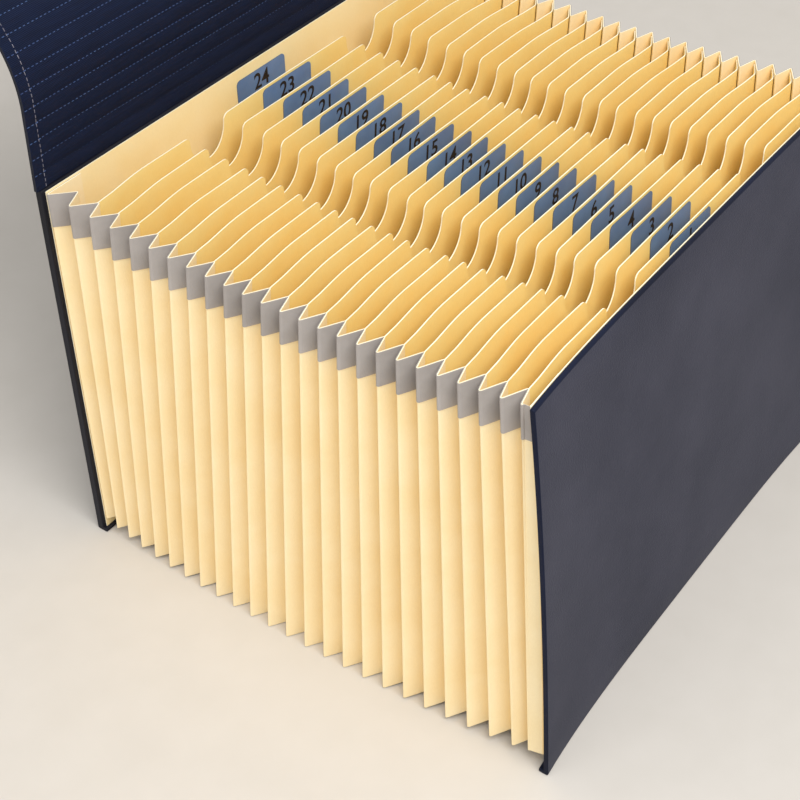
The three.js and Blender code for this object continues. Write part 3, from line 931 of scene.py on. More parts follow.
@dataclass
class Cover:
    """A stiff cover board wrapped in leatherette, with a lip along its foot.

    The lip's edges are rounded by just under half its thickness, so that their arcs don't meet.
    """

    name: str
    wall: Wall
    fold: int
    board: float
    body: str
    warp: Warp = Warp()
    width: float = 354 * MM
    edge_radius: float = 1.2 * MM
    end_radius: float = 0.6 * MM
    lip_depth: float = 3 * MM
    lip_thickness: float = 2.4 * MM
    lip_rounding: float = 0.48
    arc_points: int = 5
    columns: int = 40
    rows: int = 18

    def profile(self) -> tuple[Array, Array]:
        """Outline of the board and its lip, as distance from the inner face and height.

        Straight runs join quarter circles at the two top edges, the outer foot edge and both
        edges of the lip.

        Returns:
            The points, shape (n, 2), and a flag for each that is 1 on the outer face.
        """
        height, board, radius = LAYOUT.cover_height, self.board, self.edge_radius
        tip = self.lip_thickness * self.lip_rounding

        def arc(centre: tuple[float, float], size: float, start: float) -> Array:
            """Quarter circle that starts at an angle in degrees."""
            turn = np.radians(start + np.linspace(0.0, 90.0, self.arc_points))
            return np.stack([centre[0] + size * np.cos(turn), centre[1] + size * np.sin(turn)], 1)

        runs = np.linspace(0.0, 1.0, self.rows)[1:-1, None]
        outer_low, outer_high = np.array([board, radius]), np.array([board, height - radius])
        inner_high, inner_low = np.array([0, height - radius]), np.array([0, self.lip_thickness])
        parts = [
            arc((board - radius, radius), radius, -90),
            lerp(outer_low, outer_high, runs),
            arc((board - radius, height - radius), radius, 0),
            arc((radius, height - radius), radius, 90),
            lerp(inner_high, inner_low, runs),
            inner_low[None],
            arc((tip - self.lip_depth, self.lip_thickness - tip), tip, 90),
            arc((tip - self.lip_depth, tip), tip, 180),
        ]
        outside = np.concatenate([
            np.ones(sum(len(part) for part in parts[:2])),
            np.zeros(sum(len(part) for part in parts[2:])),
        ])
        return np.vstack(parts), outside

    def sections(self, outline: Array) -> tuple[Array, Array]:
        """Outlines across the cover, drawn in at both ends to a quarter circle.

        A point goes inwards, square to the outline, by r - sqrt(r^2 - d^2), where d is how far
        its section lies within the last r of the width.

        Args:
            outline: Closed outline of the middle sections, shape (n, 2).

        Returns:
            The place across of each section, and its outline, shape (sections, n, 2).
        """
        radius, half = self.end_radius, self.width / 2
        turn = np.linspace(0.0, math.pi / 2, self.arc_points)
        end = half - radius * (1.0 - np.sin(turn))
        middle = np.linspace(-end[0], end[0], self.columns)[1:-1]
        across = np.concatenate([-end[::-1], middle, end])
        reach = np.clip(np.abs(across) - end[0], 0.0, radius)
        inset = radius - np.sqrt(radius**2 - reach**2)
        along = np.roll(outline, -1, axis=0) - np.roll(outline, 1, axis=0)
        along /= np.linalg.norm(along, axis=1, keepdims=True)
        inward = np.stack([-along[:, 1], along[:, 0]], axis=1)
        return across, outline[None] + inset[:, None, None] * inward[None]

    def build(self, finishes: FinishSet) -> None:
        """Carries the outline across the folder's width and closes both ends.

        Args:
            finishes: The materials.
        """
        outline, outside = self.profile()
        sign = self.wall.value
        across, drawn = self.sections(outline)
        x = np.broadcast_to(across[:, None], drawn.shape[:2])
        z = drawn[..., 1]
        outward = LAYOUT.cover_seat + drawn[..., 0] + self.warp.at(x, z)
        count = len(outline)
        grid = np.stack([x, LAYOUT.wall_y(self.fold, z) + sign * outward, z], axis=-1)
        index = np.arange(len(across) * count).reshape(-1, count)
        onward = np.roll(index, -1, axis=1)
        quads = np.stack([index[:-1], index[1:], onward[1:], onward[:-1]], -1).reshape(-1, 4)
        slots = np.tile(1 - outside.astype(int), (len(across) - 1, 1))
        drawn_in = self.arc_points - 1
        slots[:drawn_in] = slots[-drawn_in:] = 1
        faces = quads.tolist() + [index[0].tolist()[::-1], index[-1].tolist()]
        if signed_volume(grid.reshape(-1, 3), quads) < 0:
            faces = [face[::-1] for face in faces]
        mesh = bpy.data.meshes.new(self.name)
        mesh.from_pydata(grid.reshape(-1, 3).tolist(), [], faces)
        mesh.polygons.foreach_set("material_index", np.append(slots, [1, 1]).astype(np.int32))
        smooth = np.arange(len(faces)) < len(quads)
        mesh.polygons.foreach_set("use_smooth", smooth)
        mesh.set_sharp_from_angle(angle=COVER_CREASE)
        # The front face takes the finish with the painted sheen, its edges the plain navy binding.
        pairs = {
            Wall.FRONT: (finishes.front_face_painted_sheen, finishes.binding),
            Wall.REAR: (finishes.rear_face, finishes.rear_binding),
        }
        for material in pairs[self.wall]:
            mesh.materials.append(material)
        piece = link_object(f"{self.name}_board", mesh)
        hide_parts(self.name)
        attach(piece, self.body)
        log.info("%s: %d faces", piece.name, len(faces))


@dataclass
class Liner:
    """The paper that lines the inside of a cover."""

    name: str
    wall: Wall
    fold: int
    body: str
    warp: Warp = Warp()
    width: float = 349 * MM
    low: float = 2.3 * MM
    top: float = 239 * MM
    thickness: float = 0.6 * MM
    wave: float = 0.06 * MM
    wave_across: float = 60 * MM
    wave_up: float = 50 * MM
    columns: int = 48
    rows: int = 30

    def build(self, finishes: FinishSet) -> None:
        """Lays a faintly waved sheet against the cover.

        The wave is the product of a sine across the width and one up the height.

        Args:
            finishes: The materials.
        """
        x, z = np.meshgrid(np.linspace(-self.width / 2, self.width / 2, self.columns),
                           np.linspace(self.low, self.top, self.rows), indexing="ij")
        wave = self.wave * np.sin(x / self.wave_across) * np.sin(z / self.wave_up)
        outward = LAYOUT.paper / 2 + LAYOUT.gap + self.thickness / 2 + self.warp.at(x, z)
        centre = LAYOUT.wall_y(self.fold, z) + wave + self.wall.value * outward
        near = np.stack([x, centre - self.thickness / 2, z], axis=-1)
        far = np.stack([x, centre + self.thickness / 2, z], axis=-1)
        surface = closed_sheet(near, far, np.stack([x, z], axis=-1), rim_slot=1)
        piece = make_object(f"{self.name}_paper", surface, [finishes.liner, finishes.cut_edge])
        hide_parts(self.name)
        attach(piece, self.body)
        log.info("%s", piece.name)


@dataclass
class PleatedSides:
    """The pleated paper of both sides and the floor, with the tape along the top edges.

    Each pocket's pleats are a piece of their own. It rides with the sheet behind it.
    """

    warp: Warp
    thickness: float = 0.5 * MM
    fold_reach: float = 1.6 * MM
    fold_steps: int = 4
    rows: int = 12
    glue_flange: float = 25 * MM
    front_bend: float = 3.5 * MM
    foot_standoff: float = 4.5 * MM
    head_standoff: float = 0.4 * MM
    tape_share: float = 0.086
    tape_near: float = 0.34 * MM
    tape_far: float = 0.62 * MM
    tape_rows: int = 4
    crest: float = 8.5 * MM
    valley: float = 0.5 * MM
    upturn: float = 22 * MM
    floor_margin: float = 0.48 * MM
    floor_reach: float = 1.2 * MM
    floor_steps: int = 6
    floor_columns: int = 20

    def corners(self) -> tuple[Array, Array, Array]:
        """Corners of the left side's zigzag.

        Outer folds stand on the fold lines. Each inner fold stands a pleat's depth further
        in, about two thirds of the way to the next outer fold. A flange follows at either end,
        and at the front a short bend before it.

        Returns:
            The foot corners, the head corners and each corner's place counted in folds.
        """
        outer = np.arange(LAYOUT.pockets + 1, dtype=float)
        inner = outer[:-1] + LAYOUT.inner_share
        place = np.empty(2 * LAYOUT.pockets + 1)
        place[0::2], place[1::2] = outer, inner
        depth = np.zeros_like(place)
        depth[1::2] = LAYOUT.pleat_depth
        feet = np.stack([depth - LAYOUT.foot_half(place), LAYOUT.foot_y(place)], axis=1)
        heads = np.stack([depth - LAYOUT.half_width, LAYOUT.top_y(place)], axis=1)
        flange = np.array([self.glue_flange, 0.0])
        bend = np.array([self.front_bend, 0.0])
        front_foot, front_head = feet[-1] + bend, heads[-1] + bend
        feet[-1, 1] += self.foot_standoff
        feet = np.vstack([feet[:1] + flange, feet, front_foot, front_foot + flange])
        heads = np.vstack([heads[:1] + flange, heads, front_head, front_head + flange])
        heads[-3, 1] += self.head_standoff
        return feet, heads, np.concatenate([place[:1], place, place[-1:], place[-1:]])

    def cuts(self) -> list[int]:
        """Finds where each pocket's pleats end: in the middle of the panel that a sheet is on.

        Returns:
            The sample numbers on the rounded path, from its first to its last.
        """
        per_corner = self.fold_steps + 2
        middles = [(2 * fold + 1) * per_corner for fold in range(1, LAYOUT.pockets)]
        feet, _, _ = self.corners()
        return [0] + middles + [len(rounded_path(feet, self.fold_reach, self.fold_steps)) - 1]

    def wall(self, start: int, end: int, low: float, near: float, far: float,
             rim_slot: int) -> Surface:
        """One stretch of the left side.

        The last stretch ends in a flange on the front liner, and takes the liner's bend.

        Args:
            start: First sample of the stretch.
            end: Last sample.
            low: Share of the height where it starts.
            near: Offset of one face from the fold path.
            far: Offset of the other face.
            rim_slot: Material slot of its cut edges.

        Returns:
            The closed surface.
        """
        feet, heads, place = self.corners()
        foot_path = rounded_path(feet, self.fold_reach, self.fold_steps)
        head_path = rounded_path(heads, self.fold_reach, self.fold_steps)
        counts = np.stack([place, np.arange(len(place), dtype=float)], axis=1)
        folds, order = rounded_path(counts, NO_ROUNDING, self.fold_steps).T
        on_liner = np.clip(order - (len(place) - 3), 0.0, 1.0)
        foot_level, head_level = LAYOUT.foot_z(folds), LAYOUT.head_z(folds)
        bottom = lerp(foot_level, head_level, low)
        rows = np.linspace(0.0, 1.0, self.rows if low == 0 else self.tape_rows)
        piece = slice(start, end + 1)
        faces = [
            ruled_sheet(foot_path, head_path, foot_level, head_level, bottom, head_level, rows,
                        offset)[piece]
            for offset in (near, far)
        ]
        for face in faces:
            face[..., 1] -= on_liner[piece, None] * self.warp.at(face[..., 0], face[..., 2])
        along = length_along(head_path)[piece]
        level = lerp(bottom[piece, None], head_level[piece, None], rows[None, :])
        flat = np.stack([np.broadcast_to(along[:, None], level.shape), level], axis=-1)
        return closed_sheet(faces[0], faces[1], flat, rim_slot=rim_slot)

    def floor(self, fold: int) -> Surface:
        """The floor pleat under one pocket.

        Seen from the side it falls from the crest under one sheet to a valley and rises to
        the crest under the next. Against a cover it turns up the liner instead.

        Args:
            fold: Number of the fold behind the pocket.

        Returns:
            The closed surface.
        """
        lift = self.crest + self.floor_margin + LAYOUT.gap

        def crest_point(at: int) -> tuple[float, float]:
            """Crest under the sheet of one fold.

            Args:
                at: Number of the fold.

            Returns:
                Its y and z.
            """
            share = lift / (LAYOUT.head_z(at) - LAYOUT.foot_z(at))
            y = lerp(LAYOUT.sheet_y(at, False), LAYOUT.sheet_y(at, True), share)
            return float(y), float(LAYOUT.foot_z(at)) + self.crest

        def upturn_points(at: int, sign: int) -> list[tuple[float, float]]:
            """Strip that turns up a liner.

            Args:
                at: Number of the fold on the liner.
                sign: 1 at the rear, -1 at the front.

            Returns:
                The y and z of its valley and of its top.
            """
            base = float(LAYOUT.foot_z(at)) + self.valley
            clear = LAYOUT.paper + LAYOUT.gap
            return [(LAYOUT.wall_y(at, base + lift_by) - sign * clear, base + lift_by)
                    for lift_by in (0.0, self.upturn)]

        if fold == 0:
            valley, top = upturn_points(0, 1)
            points = [top, valley, crest_point(1)]
        elif fold == LAYOUT.pockets - 1:
            valley, top = upturn_points(LAYOUT.pockets, -1)
            points = [crest_point(fold), valley, top]
        else:
            first, second = crest_point(fold), crest_point(fold + 1)
            base = float(LAYOUT.foot_z(fold + 0.5)) + self.valley
            points = [first, ((first[0] + second[0]) / 2, base), second]
        path = rounded_path(np.array(points), self.floor_reach, self.floor_steps)
        normals = left_normals(path)
        half_length = (LAYOUT.foot_half(fold + 0.5) - LAYOUT.pleat_depth
                       - self.floor_margin - LAYOUT.gap)
        across = np.linspace(-half_length, half_length, self.floor_columns)

        def face(offset: float) -> Array:
            """Grid of one face."""
            moved = path + normals * offset
            return np.stack(np.broadcast_arrays(
                across[None, :], moved[:, :1], moved[:, 1:]), axis=-1)

        flat = np.stack(np.broadcast_arrays(across[None, :], length_along(path)[:, None]), axis=-1)
        return closed_sheet(face(-self.thickness / 2), face(self.thickness / 2), flat, rim_slot=1)

    def build(self, finishes: FinishSet) -> None:
        """Makes the paper and tape of every pocket.

        Args:
            finishes: The materials.
        """
        cuts = self.cuts()
        half = self.thickness / 2
        for fold in range(LAYOUT.pockets):
            number = LAYOUT.pockets - fold
            start, end = cuts[fold], cuts[fold + 1]
            left = self.wall(start, end, 0.0, -half, half, 1)
            paper = Surface.joined([left, left.mirrored(), self.floor(fold)])
            pleats = make_object(f"pleats_{number:02d}", paper,
                                 [finishes.pleats, finishes.cut_edge])
            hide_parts("left_gusset", "right_gusset", "bottom_gusset")
            LAYOUT.flatten(pleats, fold)
            strip = self.wall(start, end, 1 - self.tape_share, -self.tape_near, -self.tape_far, 0)
            strips = Surface.joined([strip, strip.mirrored()])
            tape = make_object(f"edge_tape_{number:02d}", strips, [finishes.tape])
            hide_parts("left_gusset_tape", "right_gusset_tape")
            LAYOUT.flatten(tape, fold)
        log.info("pleats and tape: %d pockets", LAYOUT.pockets)


@dataclass
class Divider:
    """One divider sheet with two thumb notches, and the label on its front."""

    fold: int
    thickness: float = 0.65 * MM
    drop: float = 2 * MM
    lift: float = 9.28 * MM
    label_drop: float = 1.5 * MM
    glue_start: float = 0.12
    glue_closer: float = 0.22 * MM
    seat_end: float = 0.88
    settle: float = 122 * MM
    bend_reach: float = 2.2 * MM
    bend_steps: int = 6
    flat_half: float = 150 * MM
    notch_offset: float = 71.5 * MM
    notch_half: float = 14.5 * MM
    notch_depth: float = 20.5 * MM
    notch_lip: float = 4 * MM
    notch_margin: float = 2 * MM
    lip_columns: int = 6
    bowl_columns: int = 29
    outer_columns: int = 10
    middle_columns: int = 12
    rows: int = 16
    row_bias: float = 1.6
    wave: float = 0.35 * MM
    wave_end: float = 165 * MM
    wave_fade: float = 90 * MM
    long_wave: float = 46 * MM
    short_wave: float = 21 * MM
    short_share: float = 0.6
    long_turn: float = 1.7
    short_turn: float = 2.3

    @property
    def number(self) -> int:
        """Number of the divider, counted from the front cover."""
        return LAYOUT.pockets - self.fold

    def notch_at(self, x: Array) -> Array:
        """Depth of the thumb notches: half an ellipse below two quarter-round lips.

        Args:
            x: Places across the sheet.

        Returns:
            The depth below the top edge at each of them.
        """
        away = np.abs(np.abs(x) - self.notch_offset)
        rim = self.notch_half + self.notch_lip
        in_lip = np.clip(rim - away, 0.0, self.notch_lip)
        lip = self.notch_lip - np.sqrt(self.notch_lip**2 - in_lip**2)
        bowl = np.sqrt(np.clip(1.0 - (away / self.notch_half) ** 2, 0.0, 1.0))
        return np.where(away < self.notch_half,
                        self.notch_lip + (self.notch_depth - self.notch_lip) * bowl, lip)

    def columns(self) -> Array:
        """Columns of the sheet's grid, closest together round the notches.

        They are spaced by a sine over each lip, by a cosine over each bowl, and evenly between.

        Returns:
            Their places across.
        """
        rise = np.linspace(0.0, math.pi / 2, self.lip_columns + 1)[:-1]
        lip = self.notch_lip * np.sin(rise)
        bowl = self.notch_half * np.cos(np.linspace(math.pi, 0.0, self.bowl_columns))
        rim = self.notch_half + self.notch_lip
        notch = np.concatenate([lip - rim, bowl, (rim - lip)[::-1]])
        near = self.notch_offset - rim - self.notch_margin
        far = self.notch_offset + rim + self.notch_margin
        outer = np.linspace(-self.flat_half, -far, self.outer_columns)
        middle = np.linspace(-near, near, self.middle_columns)
        return np.concatenate([outer, notch - self.notch_offset, middle,
                               notch + self.notch_offset, -outer[::-1]])

    def plan(self, at_head: bool) -> Array:
        """The sheet seen from above at its foot or head.

        It lies on the rising panel almost to the inner fold, bends off it, eases back to
        the level of the panel's middle by a smooth step and runs straight across.

        Args:
            at_head: True for the head, False for the foot.

        Returns:
            The points, shape (n, 2).
        """
        start = LAYOUT.seat(self.fold, self.glue_start, at_head, self.glue_closer)
        bend = LAYOUT.seat(self.fold, self.seat_end, at_head)
        level = LAYOUT.sheet_y(self.fold, at_head)
        across = self.columns()
        ease = smooth_step((np.abs(across) - self.settle) / (-bend[0] - self.settle))
        middle = np.stack([across, lerp(level, bend[1], ease)], axis=1)
        corners = np.stack([start, bend, middle[0]])
        edge = rounded_path(corners, self.bend_reach, self.bend_steps)[:-1]
        return np.vstack([edge, middle, edge[::-1] * np.array([-1.0, 1.0])])

    def wave_at(self, x: Array, share: Array) -> Array:
        """Distance by which the sheet waves along y.

        It is the sum of a long and a short sine across x, turned on from one sheet to the
        next. It grows with height and dies away at the sides.

        Args:
            x: Places across the sheet.
            share: Share of the height at each of them.

        Returns:
            The distance at each point.
        """
        calm = smooth_step((self.wave_end - np.abs(x)) / self.wave_fade)
        turn = self.long_turn * self.fold
        shape = (np.sin(x / self.long_wave + turn)
                 + self.short_share * np.sin(x / self.short_wave - self.short_turn * turn))
        return self.wave * calm * smooth_step(share) * shape

    def points(self, foot: Array, head: Array, top: Array, low: Array, rows: Array,
               offset: float) -> Array:
        """Grid of points on the waved sheet, moved off its centre by an offset.

        Args:
            foot: Plan points at the foot, shape (n, 2).
            head: Plan points at the head, shape (n, 2).
            top: Height of the top edge at each of them.
            low: Height of the lower edge at each of them.
            rows: Shares from 0 to 1.
            offset: Distance from the centre.

        Returns:
            The points, shape (n, rows, 3).
        """
        count = len(foot)
        foot_level = np.full(count, float(LAYOUT.foot_z(self.fold)))
        head_level = np.full(count, float(LAYOUT.head_z(self.fold)))
        grid = ruled_sheet(foot, head, foot_level, head_level, low, top, rows, offset)
        share = (grid[..., 2] - foot_level[0]) / (head_level[0] - foot_level[0])
        grid[..., 1] += self.wave_at(grid[..., 0], share)
        return grid

    def build(self, finishes: FinishSet) -> None:
        """Makes the sheet.

        Args:
            finishes: The materials.
        """
        foot, head = self.plan(False), self.plan(True)
        level = float(LAYOUT.head_z(self.fold)) - self.drop
        top = level - self.notch_at(head[:, 0])
        low = np.full(len(foot), float(LAYOUT.foot_z(self.fold)) + self.lift)
        rows = 1.0 - (1.0 - np.linspace(0.0, 1.0, self.rows)) ** self.row_bias
        near, far = (self.points(foot, head, top, low, rows, side * self.thickness / 2)
                     for side in (-1, 1))
        flat = np.stack([near[..., 0], near[..., 2]], axis=-1)
        surface = closed_sheet(near, far, flat, rim_slot=1)
        name = f"divider_{self.number:02d}"
        piece = make_object(f"{name}_sheet", surface, [finishes.sheet, finishes.cut_edge])
        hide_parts(name)
        LAYOUT.flatten(piece, self.fold)
        Label(self.number, level - self.label_drop, self).build(finishes)
        log.info("divider %d and its label", self.number)


@dataclass
class Label:
    """An index label with a plain number, on a divider or on the rear liner.

    The card lies a film of glue in front of the paper, and the print stands a relief proud of
    the card. The font's size is a little more than the height of its figures.
    """

    number: int
    top: float
    divider: Divider | None = None
    width: float = 44 * MM
    height: float = 25 * MM
    corner: float = 3 * MM
    corner_points: int = 7
    columns: int = 12
    rows: int = 8
    thickness: float = 0.25 * MM
    glue: float = 0.08 * MM
    figure_height: float = 10 * MM
    figure_drop: float = 2 * MM
    font_ratio: float = 1.4
    font_weight: float = 0.22 * MM
    font_steps: int = 6
    relief: float = 0.03 * MM
    relief_lift: float = 0.02 * MM

    def face_y(self, x: Array, z: Array) -> Array:
        """Y of the paper's front face behind the label.

        Args:
            x: Places across.
            z: Heights.

        Returns:
            Y at each of them.
        """
        if self.divider is None:
            return LAYOUT.wall_y(0, z) + LAYOUT.paper / 2 + LAYOUT.gap
        fold = self.divider.fold
        low, high = float(LAYOUT.foot_z(fold)), float(LAYOUT.head_z(fold))
        share = (z - low) / (high - low)
        middle = lerp(LAYOUT.sheet_y(fold, False), LAYOUT.sheet_y(fold, True), share)
        return middle + self.divider.wave_at(x, share) - self.divider.thickness / 2

    def build(self, finishes: FinishSet) -> None:
        """Makes the card and the number printed on it.

        Args:
            finishes: The materials.
        """
        straight = self.width / 2 - self.corner
        turn = np.linspace(0.0, math.pi / 2, self.corner_points)
        side = straight + self.corner * np.cos(turn)
        fall = self.corner * (1.0 - np.sin(turn))
        middle = np.linspace(-straight, straight, self.columns)[1:-1]
        x = np.concatenate([-side, middle, side[::-1]])
        drop = np.concatenate([fall, np.zeros(len(middle)), fall[::-1]])
        rows = np.linspace(0.0, 1.0, self.rows)
        low = self.top - self.height
        z = low + (self.top - drop[:, None] - low) * rows[None, :]
        x = np.broadcast_to(x[:, None], z.shape)
        back = self.face_y(x, z) - self.glue
        far = np.stack([x, back, z], axis=-1)
        near = np.stack([x, back - self.thickness, z], axis=-1)
        surface = closed_sheet(near, far, np.stack([x, z], axis=-1), rim_slot=1)
        name = f"index_label_{self.number:02d}"
        card = make_object(f"{name}_card", surface, [finishes.label, finishes.label_edge])
        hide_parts(name)
        self.hold(card)
        self.print_number(name, finishes)

    def hold(self, piece: bpy.types.Object) -> None:
        """Lets a piece of the label go with the paper behind it.

        Args:
            piece: The card or the number.
        """
        if self.divider is None:
            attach(piece, ROOT_BODY)
        else:
            LAYOUT.flatten(piece, self.divider.fold)

    def print_number(self, name: str, finishes: FinishSet) -> None:
        """Lays the number on the card as a thin relief that follows its plane.

        Args:
            name: Name of the label's node.
            finishes: The materials.
        """
        curve = bpy.data.curves.new(f"{name}_figures", "FONT")
        curve.body = str(self.number)
        curve.size = self.figure_height * self.font_ratio
        curve.align_x = "CENTER"
        curve.extrude = self.relief
        curve.offset = self.font_weight
        curve.resolution_u = self.font_steps
        writer = bpy.data.objects.new(f"{name}_writer", curve)
        mesh = bpy.data.meshes.new_from_object(writer)
        points = np.zeros(len(mesh.vertices) * 3)
        mesh.vertices.foreach_get("co", points)
        points = points.reshape(-1, 3)
        x = points[:, 0]
        z = points[:, 1] + self.top - self.figure_drop - self.figure_height
        card = self.face_y(x, z) - self.glue - self.thickness
        y = card - points[:, 2] - self.relief_lift
        mesh.vertices.foreach_set("co", np.stack([x, y, z], axis=1).ravel())
        mesh.materials.clear()
        mesh.materials.append(finishes.number)
        mesh.name = f"{name}_number"
        bpy.data.objects.remove(writer)
        bpy.data.curves.remove(curve)
        piece = link_object(f"{name}_number", mesh)
        self.hold(piece)


@dataclass
class Flap:
    """The ribbed flap: sewn ribs on its lining, a hem down each side and a plain end.

    Its lining line rises, bends back, slopes, bends down and hangs. It is cut midway between
    its hinges, into one length round each hinge. Bends are in degrees.
    """

    width: float = 358 * MM
    thickness: float = 2 * MM
    foot_gap: float = 0.4 * MM
    rise: float = 47 * MM
    first_radius: float = 65 * MM
    first_bend: float = 60.0
    slope: float = 110 * MM
    second_radius: float = 20 * MM
    second_bend: float = 115.0
    hang: float = 52 * MM
    end_panel: float = 110 * MM
    rib_pitch: float = 9.5 * MM
    rib_puff: float = 0.4 * MM
    rib_power: float = 0.7
    rib_fade: float = 6 * MM
    rib_steps: int = 8
    seam_dip: float = 0.35 * MM
    crumple: float = 0.12 * MM
    crumple_across: float = 13 * MM
    crumple_along: float = 4.1 * MM
    hem_width: float = 8.5 * MM
    hem_raise: float = 0.25 * MM
    hem_step: float = 1.2 * MM
    hem_flatness: float = 0.55
    hem_margin: float = 6 * MM
    hem_columns: int = 9
    inner_columns: int = 42
    edge_width: float = 1 * MM
    edge_thinning: float = 0.35 * MM
    stitch_inset: float = 6.8 * MM
    stitch_pitch: float = 2.9 * MM
    stitch_length: float = 2.1 * MM
    stitch_width: float = 0.42 * MM
    stitch_height: float = 0.7
    stitch_sink: float = 0.1 * MM
    seam_inset: float = 1.5 * MM
    last_seam_gap: float = 3 * MM
    bend_reach: float = 9 * MM
    second_reach: float = 1.2
    end_curl: float = 4.2 * MM
    curl_run: float = 60 * MM

    @property
    def runs(self) -> list[tuple[float, float]]:
        """Runs of the lining line, straight and bent in turn.

        Returns:
            The length of each, and its backward turn in radians.
        """
        first, second = math.radians(self.first_bend), math.radians(self.second_bend)
        return [
            (self.rise, 0.0),
            (self.first_radius * first, first),
            (self.slope, 0.0),
            (self.second_radius * second, second),
            (self.hang + self.end_panel, 0.0),
        ]

    @property
    def hinges(self) -> list[float]:
        """Hinges: at the foot, halfway round both bends and at the end panel.

        Returns:
            The distance of each along the lining.
        """
        lengths = [length for length, _ in self.runs]
        return [0.0, lengths[0] + lengths[1] / 2, sum(lengths[:3]) + lengths[3] / 2,
                sum(lengths[:4]) + self.hang]

    @property
    def length(self) -> float:
        """Whole length of the flap along its lining."""
        return sum(length for length, _ in self.runs)

    def line(self, distance: Array) -> tuple[Array, Array]:
        """Lining line at each distance from the cover.

        A straight run goes on along its heading. A bend of radius r between headings a and b
        adds r (cos a - cos b) to y and r (sin b - sin a) to z.

        Args:
            distance: Distances along the lining.

        Returns:
            The y and z of each point, shape (..., 2), and the heading from upright.
        """
        y = np.full(distance.shape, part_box("flap_spine_lower")[0].y)
        z = np.full(distance.shape, LAYOUT.cover_height)
        heading = np.zeros(distance.shape)
        covered = 0.0
        for length, turn in self.runs:
            part = np.clip(distance - covered, 0.0, length)
            onward = heading + turn * part / length
            if turn:
                radius = length / turn
                y = y + radius * (np.cos(heading) - np.cos(onward))
                z = z + radius * (np.sin(onward) - np.sin(heading))
            else:
                y = y + part * np.sin(heading)
                z = z + part * np.cos(heading)
            heading = onward
            covered += length
        return np.stack([y, z], axis=-1), heading

    def place(self, x: Array, distance: Array, depth: Array) -> Array:
        """Points of the flap.

        The end panel curls back at its sides, by the fourth power of x, so that it clears the
        front cover's curl when it hangs over it.

        Args:
            x: Places across the flap.
            distance: Distances along the lining.
            depth: Depths behind the lining line.

        Returns:
            The points, shape (..., 3).
        """
        side = np.abs(x / (self.width / 2)) ** 4
        onward = smooth_step((distance - self.hinges[3]) / self.curl_run)
        depth = depth + self.end_curl * side * onward
        line, heading = self.line(distance)
        y = line[..., 0] + depth * np.cos(heading)
        z = line[..., 1] - depth * np.sin(heading)
        return np.stack([x, y, z], axis=-1)

    def lining_depth(self, x: Array, distance: Array) -> Array:
        """Depth of the lining's surface: puffed between seams, dipped at them, raised hems.

        Each rib is a power of a sine between two seams. A hem is flatter and stands a little
        proud. The end panel has no ribs.

        Args:
            x: Places across the flap.
            distance: Distances along it.

        Returns:
            The depth behind the lining line, negative towards the viewer.
        """
        ribbed = smooth_step((self.hinges[3] - distance) / self.rib_fade)
        swell = np.abs(np.sin(math.pi * distance / self.rib_pitch)) ** self.rib_power
        hem = smooth_step((np.abs(x) - (self.width / 2 - self.hem_width)) / self.hem_step)
        rib = self.seam_dip - (self.rib_puff + self.seam_dip) * swell
        crumple = self.crumple * np.sin(x / self.crumple_across + distance / self.crumple_along)
        return ribbed * (rib + crumple) * (1 - self.hem_flatness * hem) - self.hem_raise * hem

    def grid_lines(self, start: float, end: float) -> tuple[Array, Array]:
        """Lines of the grid of one length, closest together across the hems.

        Args:
            start: Distance along the lining where the length starts.
            end: Distance where it ends.

        Returns:
            The places across, and the distances along.
        """
        hem = self.width / 2 - self.hem_width
        outer = np.linspace(hem - self.edge_width, self.width / 2, self.hem_columns)
        reach = hem - self.hem_margin
        inner = np.linspace(-reach, reach, self.inner_columns)
        across = np.concatenate([-outer[::-1], inner, outer])
        steps = max(int(round((end - start) / self.rib_pitch * self.rib_steps)), self.rib_steps)
        return across, np.linspace(start, end, steps + 1)

    def cloth(self, start: float, end: float) -> Surface:
        """One length of the flap's cloth, a little thinner at its side edges.

        Args:
            start: Distance along the lining where the length starts.
            end: Distance where it ends.

        Returns:
            The closed surface, with the lining in slot 0 and the outside in slot 1.
        """
        across, along = self.grid_lines(start, end)
        distance, x = np.meshgrid(along, across, indexing="ij")
        near = self.place(x, distance, self.lining_depth(x, distance))
        inside = smooth_step((self.width / 2 - np.abs(x)) / self.edge_width)
        far = self.place(x, distance, self.thickness - self.edge_thinning * (1 - inside))
        flat = np.stack([x, distance], axis=-1)
        return closed_sheet(near, far, flat, back_slot=1, rim_slot=1)

    def stitches(self, places: Array, along: Array, out: Array) -> Surface:
        """Many small stitches as one surface.

        Each stitch is a low ridge of eight corners, longer than it is wide, whose top is
        narrower than its foot.

        Args:
            places: Middle of each stitch, shape (n, 3).
            along: Direction of each stitch, shape (n, 3).
            out: Direction that each stands up in, shape (n, 3).

        Returns:
            All the stitches.
        """
        side = np.cross(along, out)
        shape = np.array([
            [-1, -1, 0], [1, -1, 0], [1, 1, 0], [-1, 1, 0],
            [-0.6, -0.5, 1], [0.6, -0.5, 1], [0.6, 0.5, 1], [-0.6, 0.5, 1],
        ], dtype=float)
        size = np.array([self.stitch_length / 2, self.stitch_width / 2,
                         self.stitch_width * self.stitch_height])
        local = shape * size
        points = (
            places[:, None]
            + along[:, None] * local[None, :, :1]
            + side[:, None] * local[None, :, 1:2]
            + out[:, None] * (local[None, :, 2:] - self.stitch_sink)
        )
        box = np.array([[0, 3, 2, 1], [4, 5, 6, 7], [0, 1, 5, 4], [1, 2, 6, 5], [2, 3, 7, 6],
                        [3, 0, 4, 7]])
        quads = (box[None] + 8 * np.arange(len(places))[:, None, None]).reshape(-1, 4)
        vertices = points.reshape(-1, 3)
        if signed_volume(vertices, quads) < 0:
            quads = quads[:, ::-1]
        return Surface(vertices, quads, np.zeros(len(quads), dtype=int), vertices[:, :2])

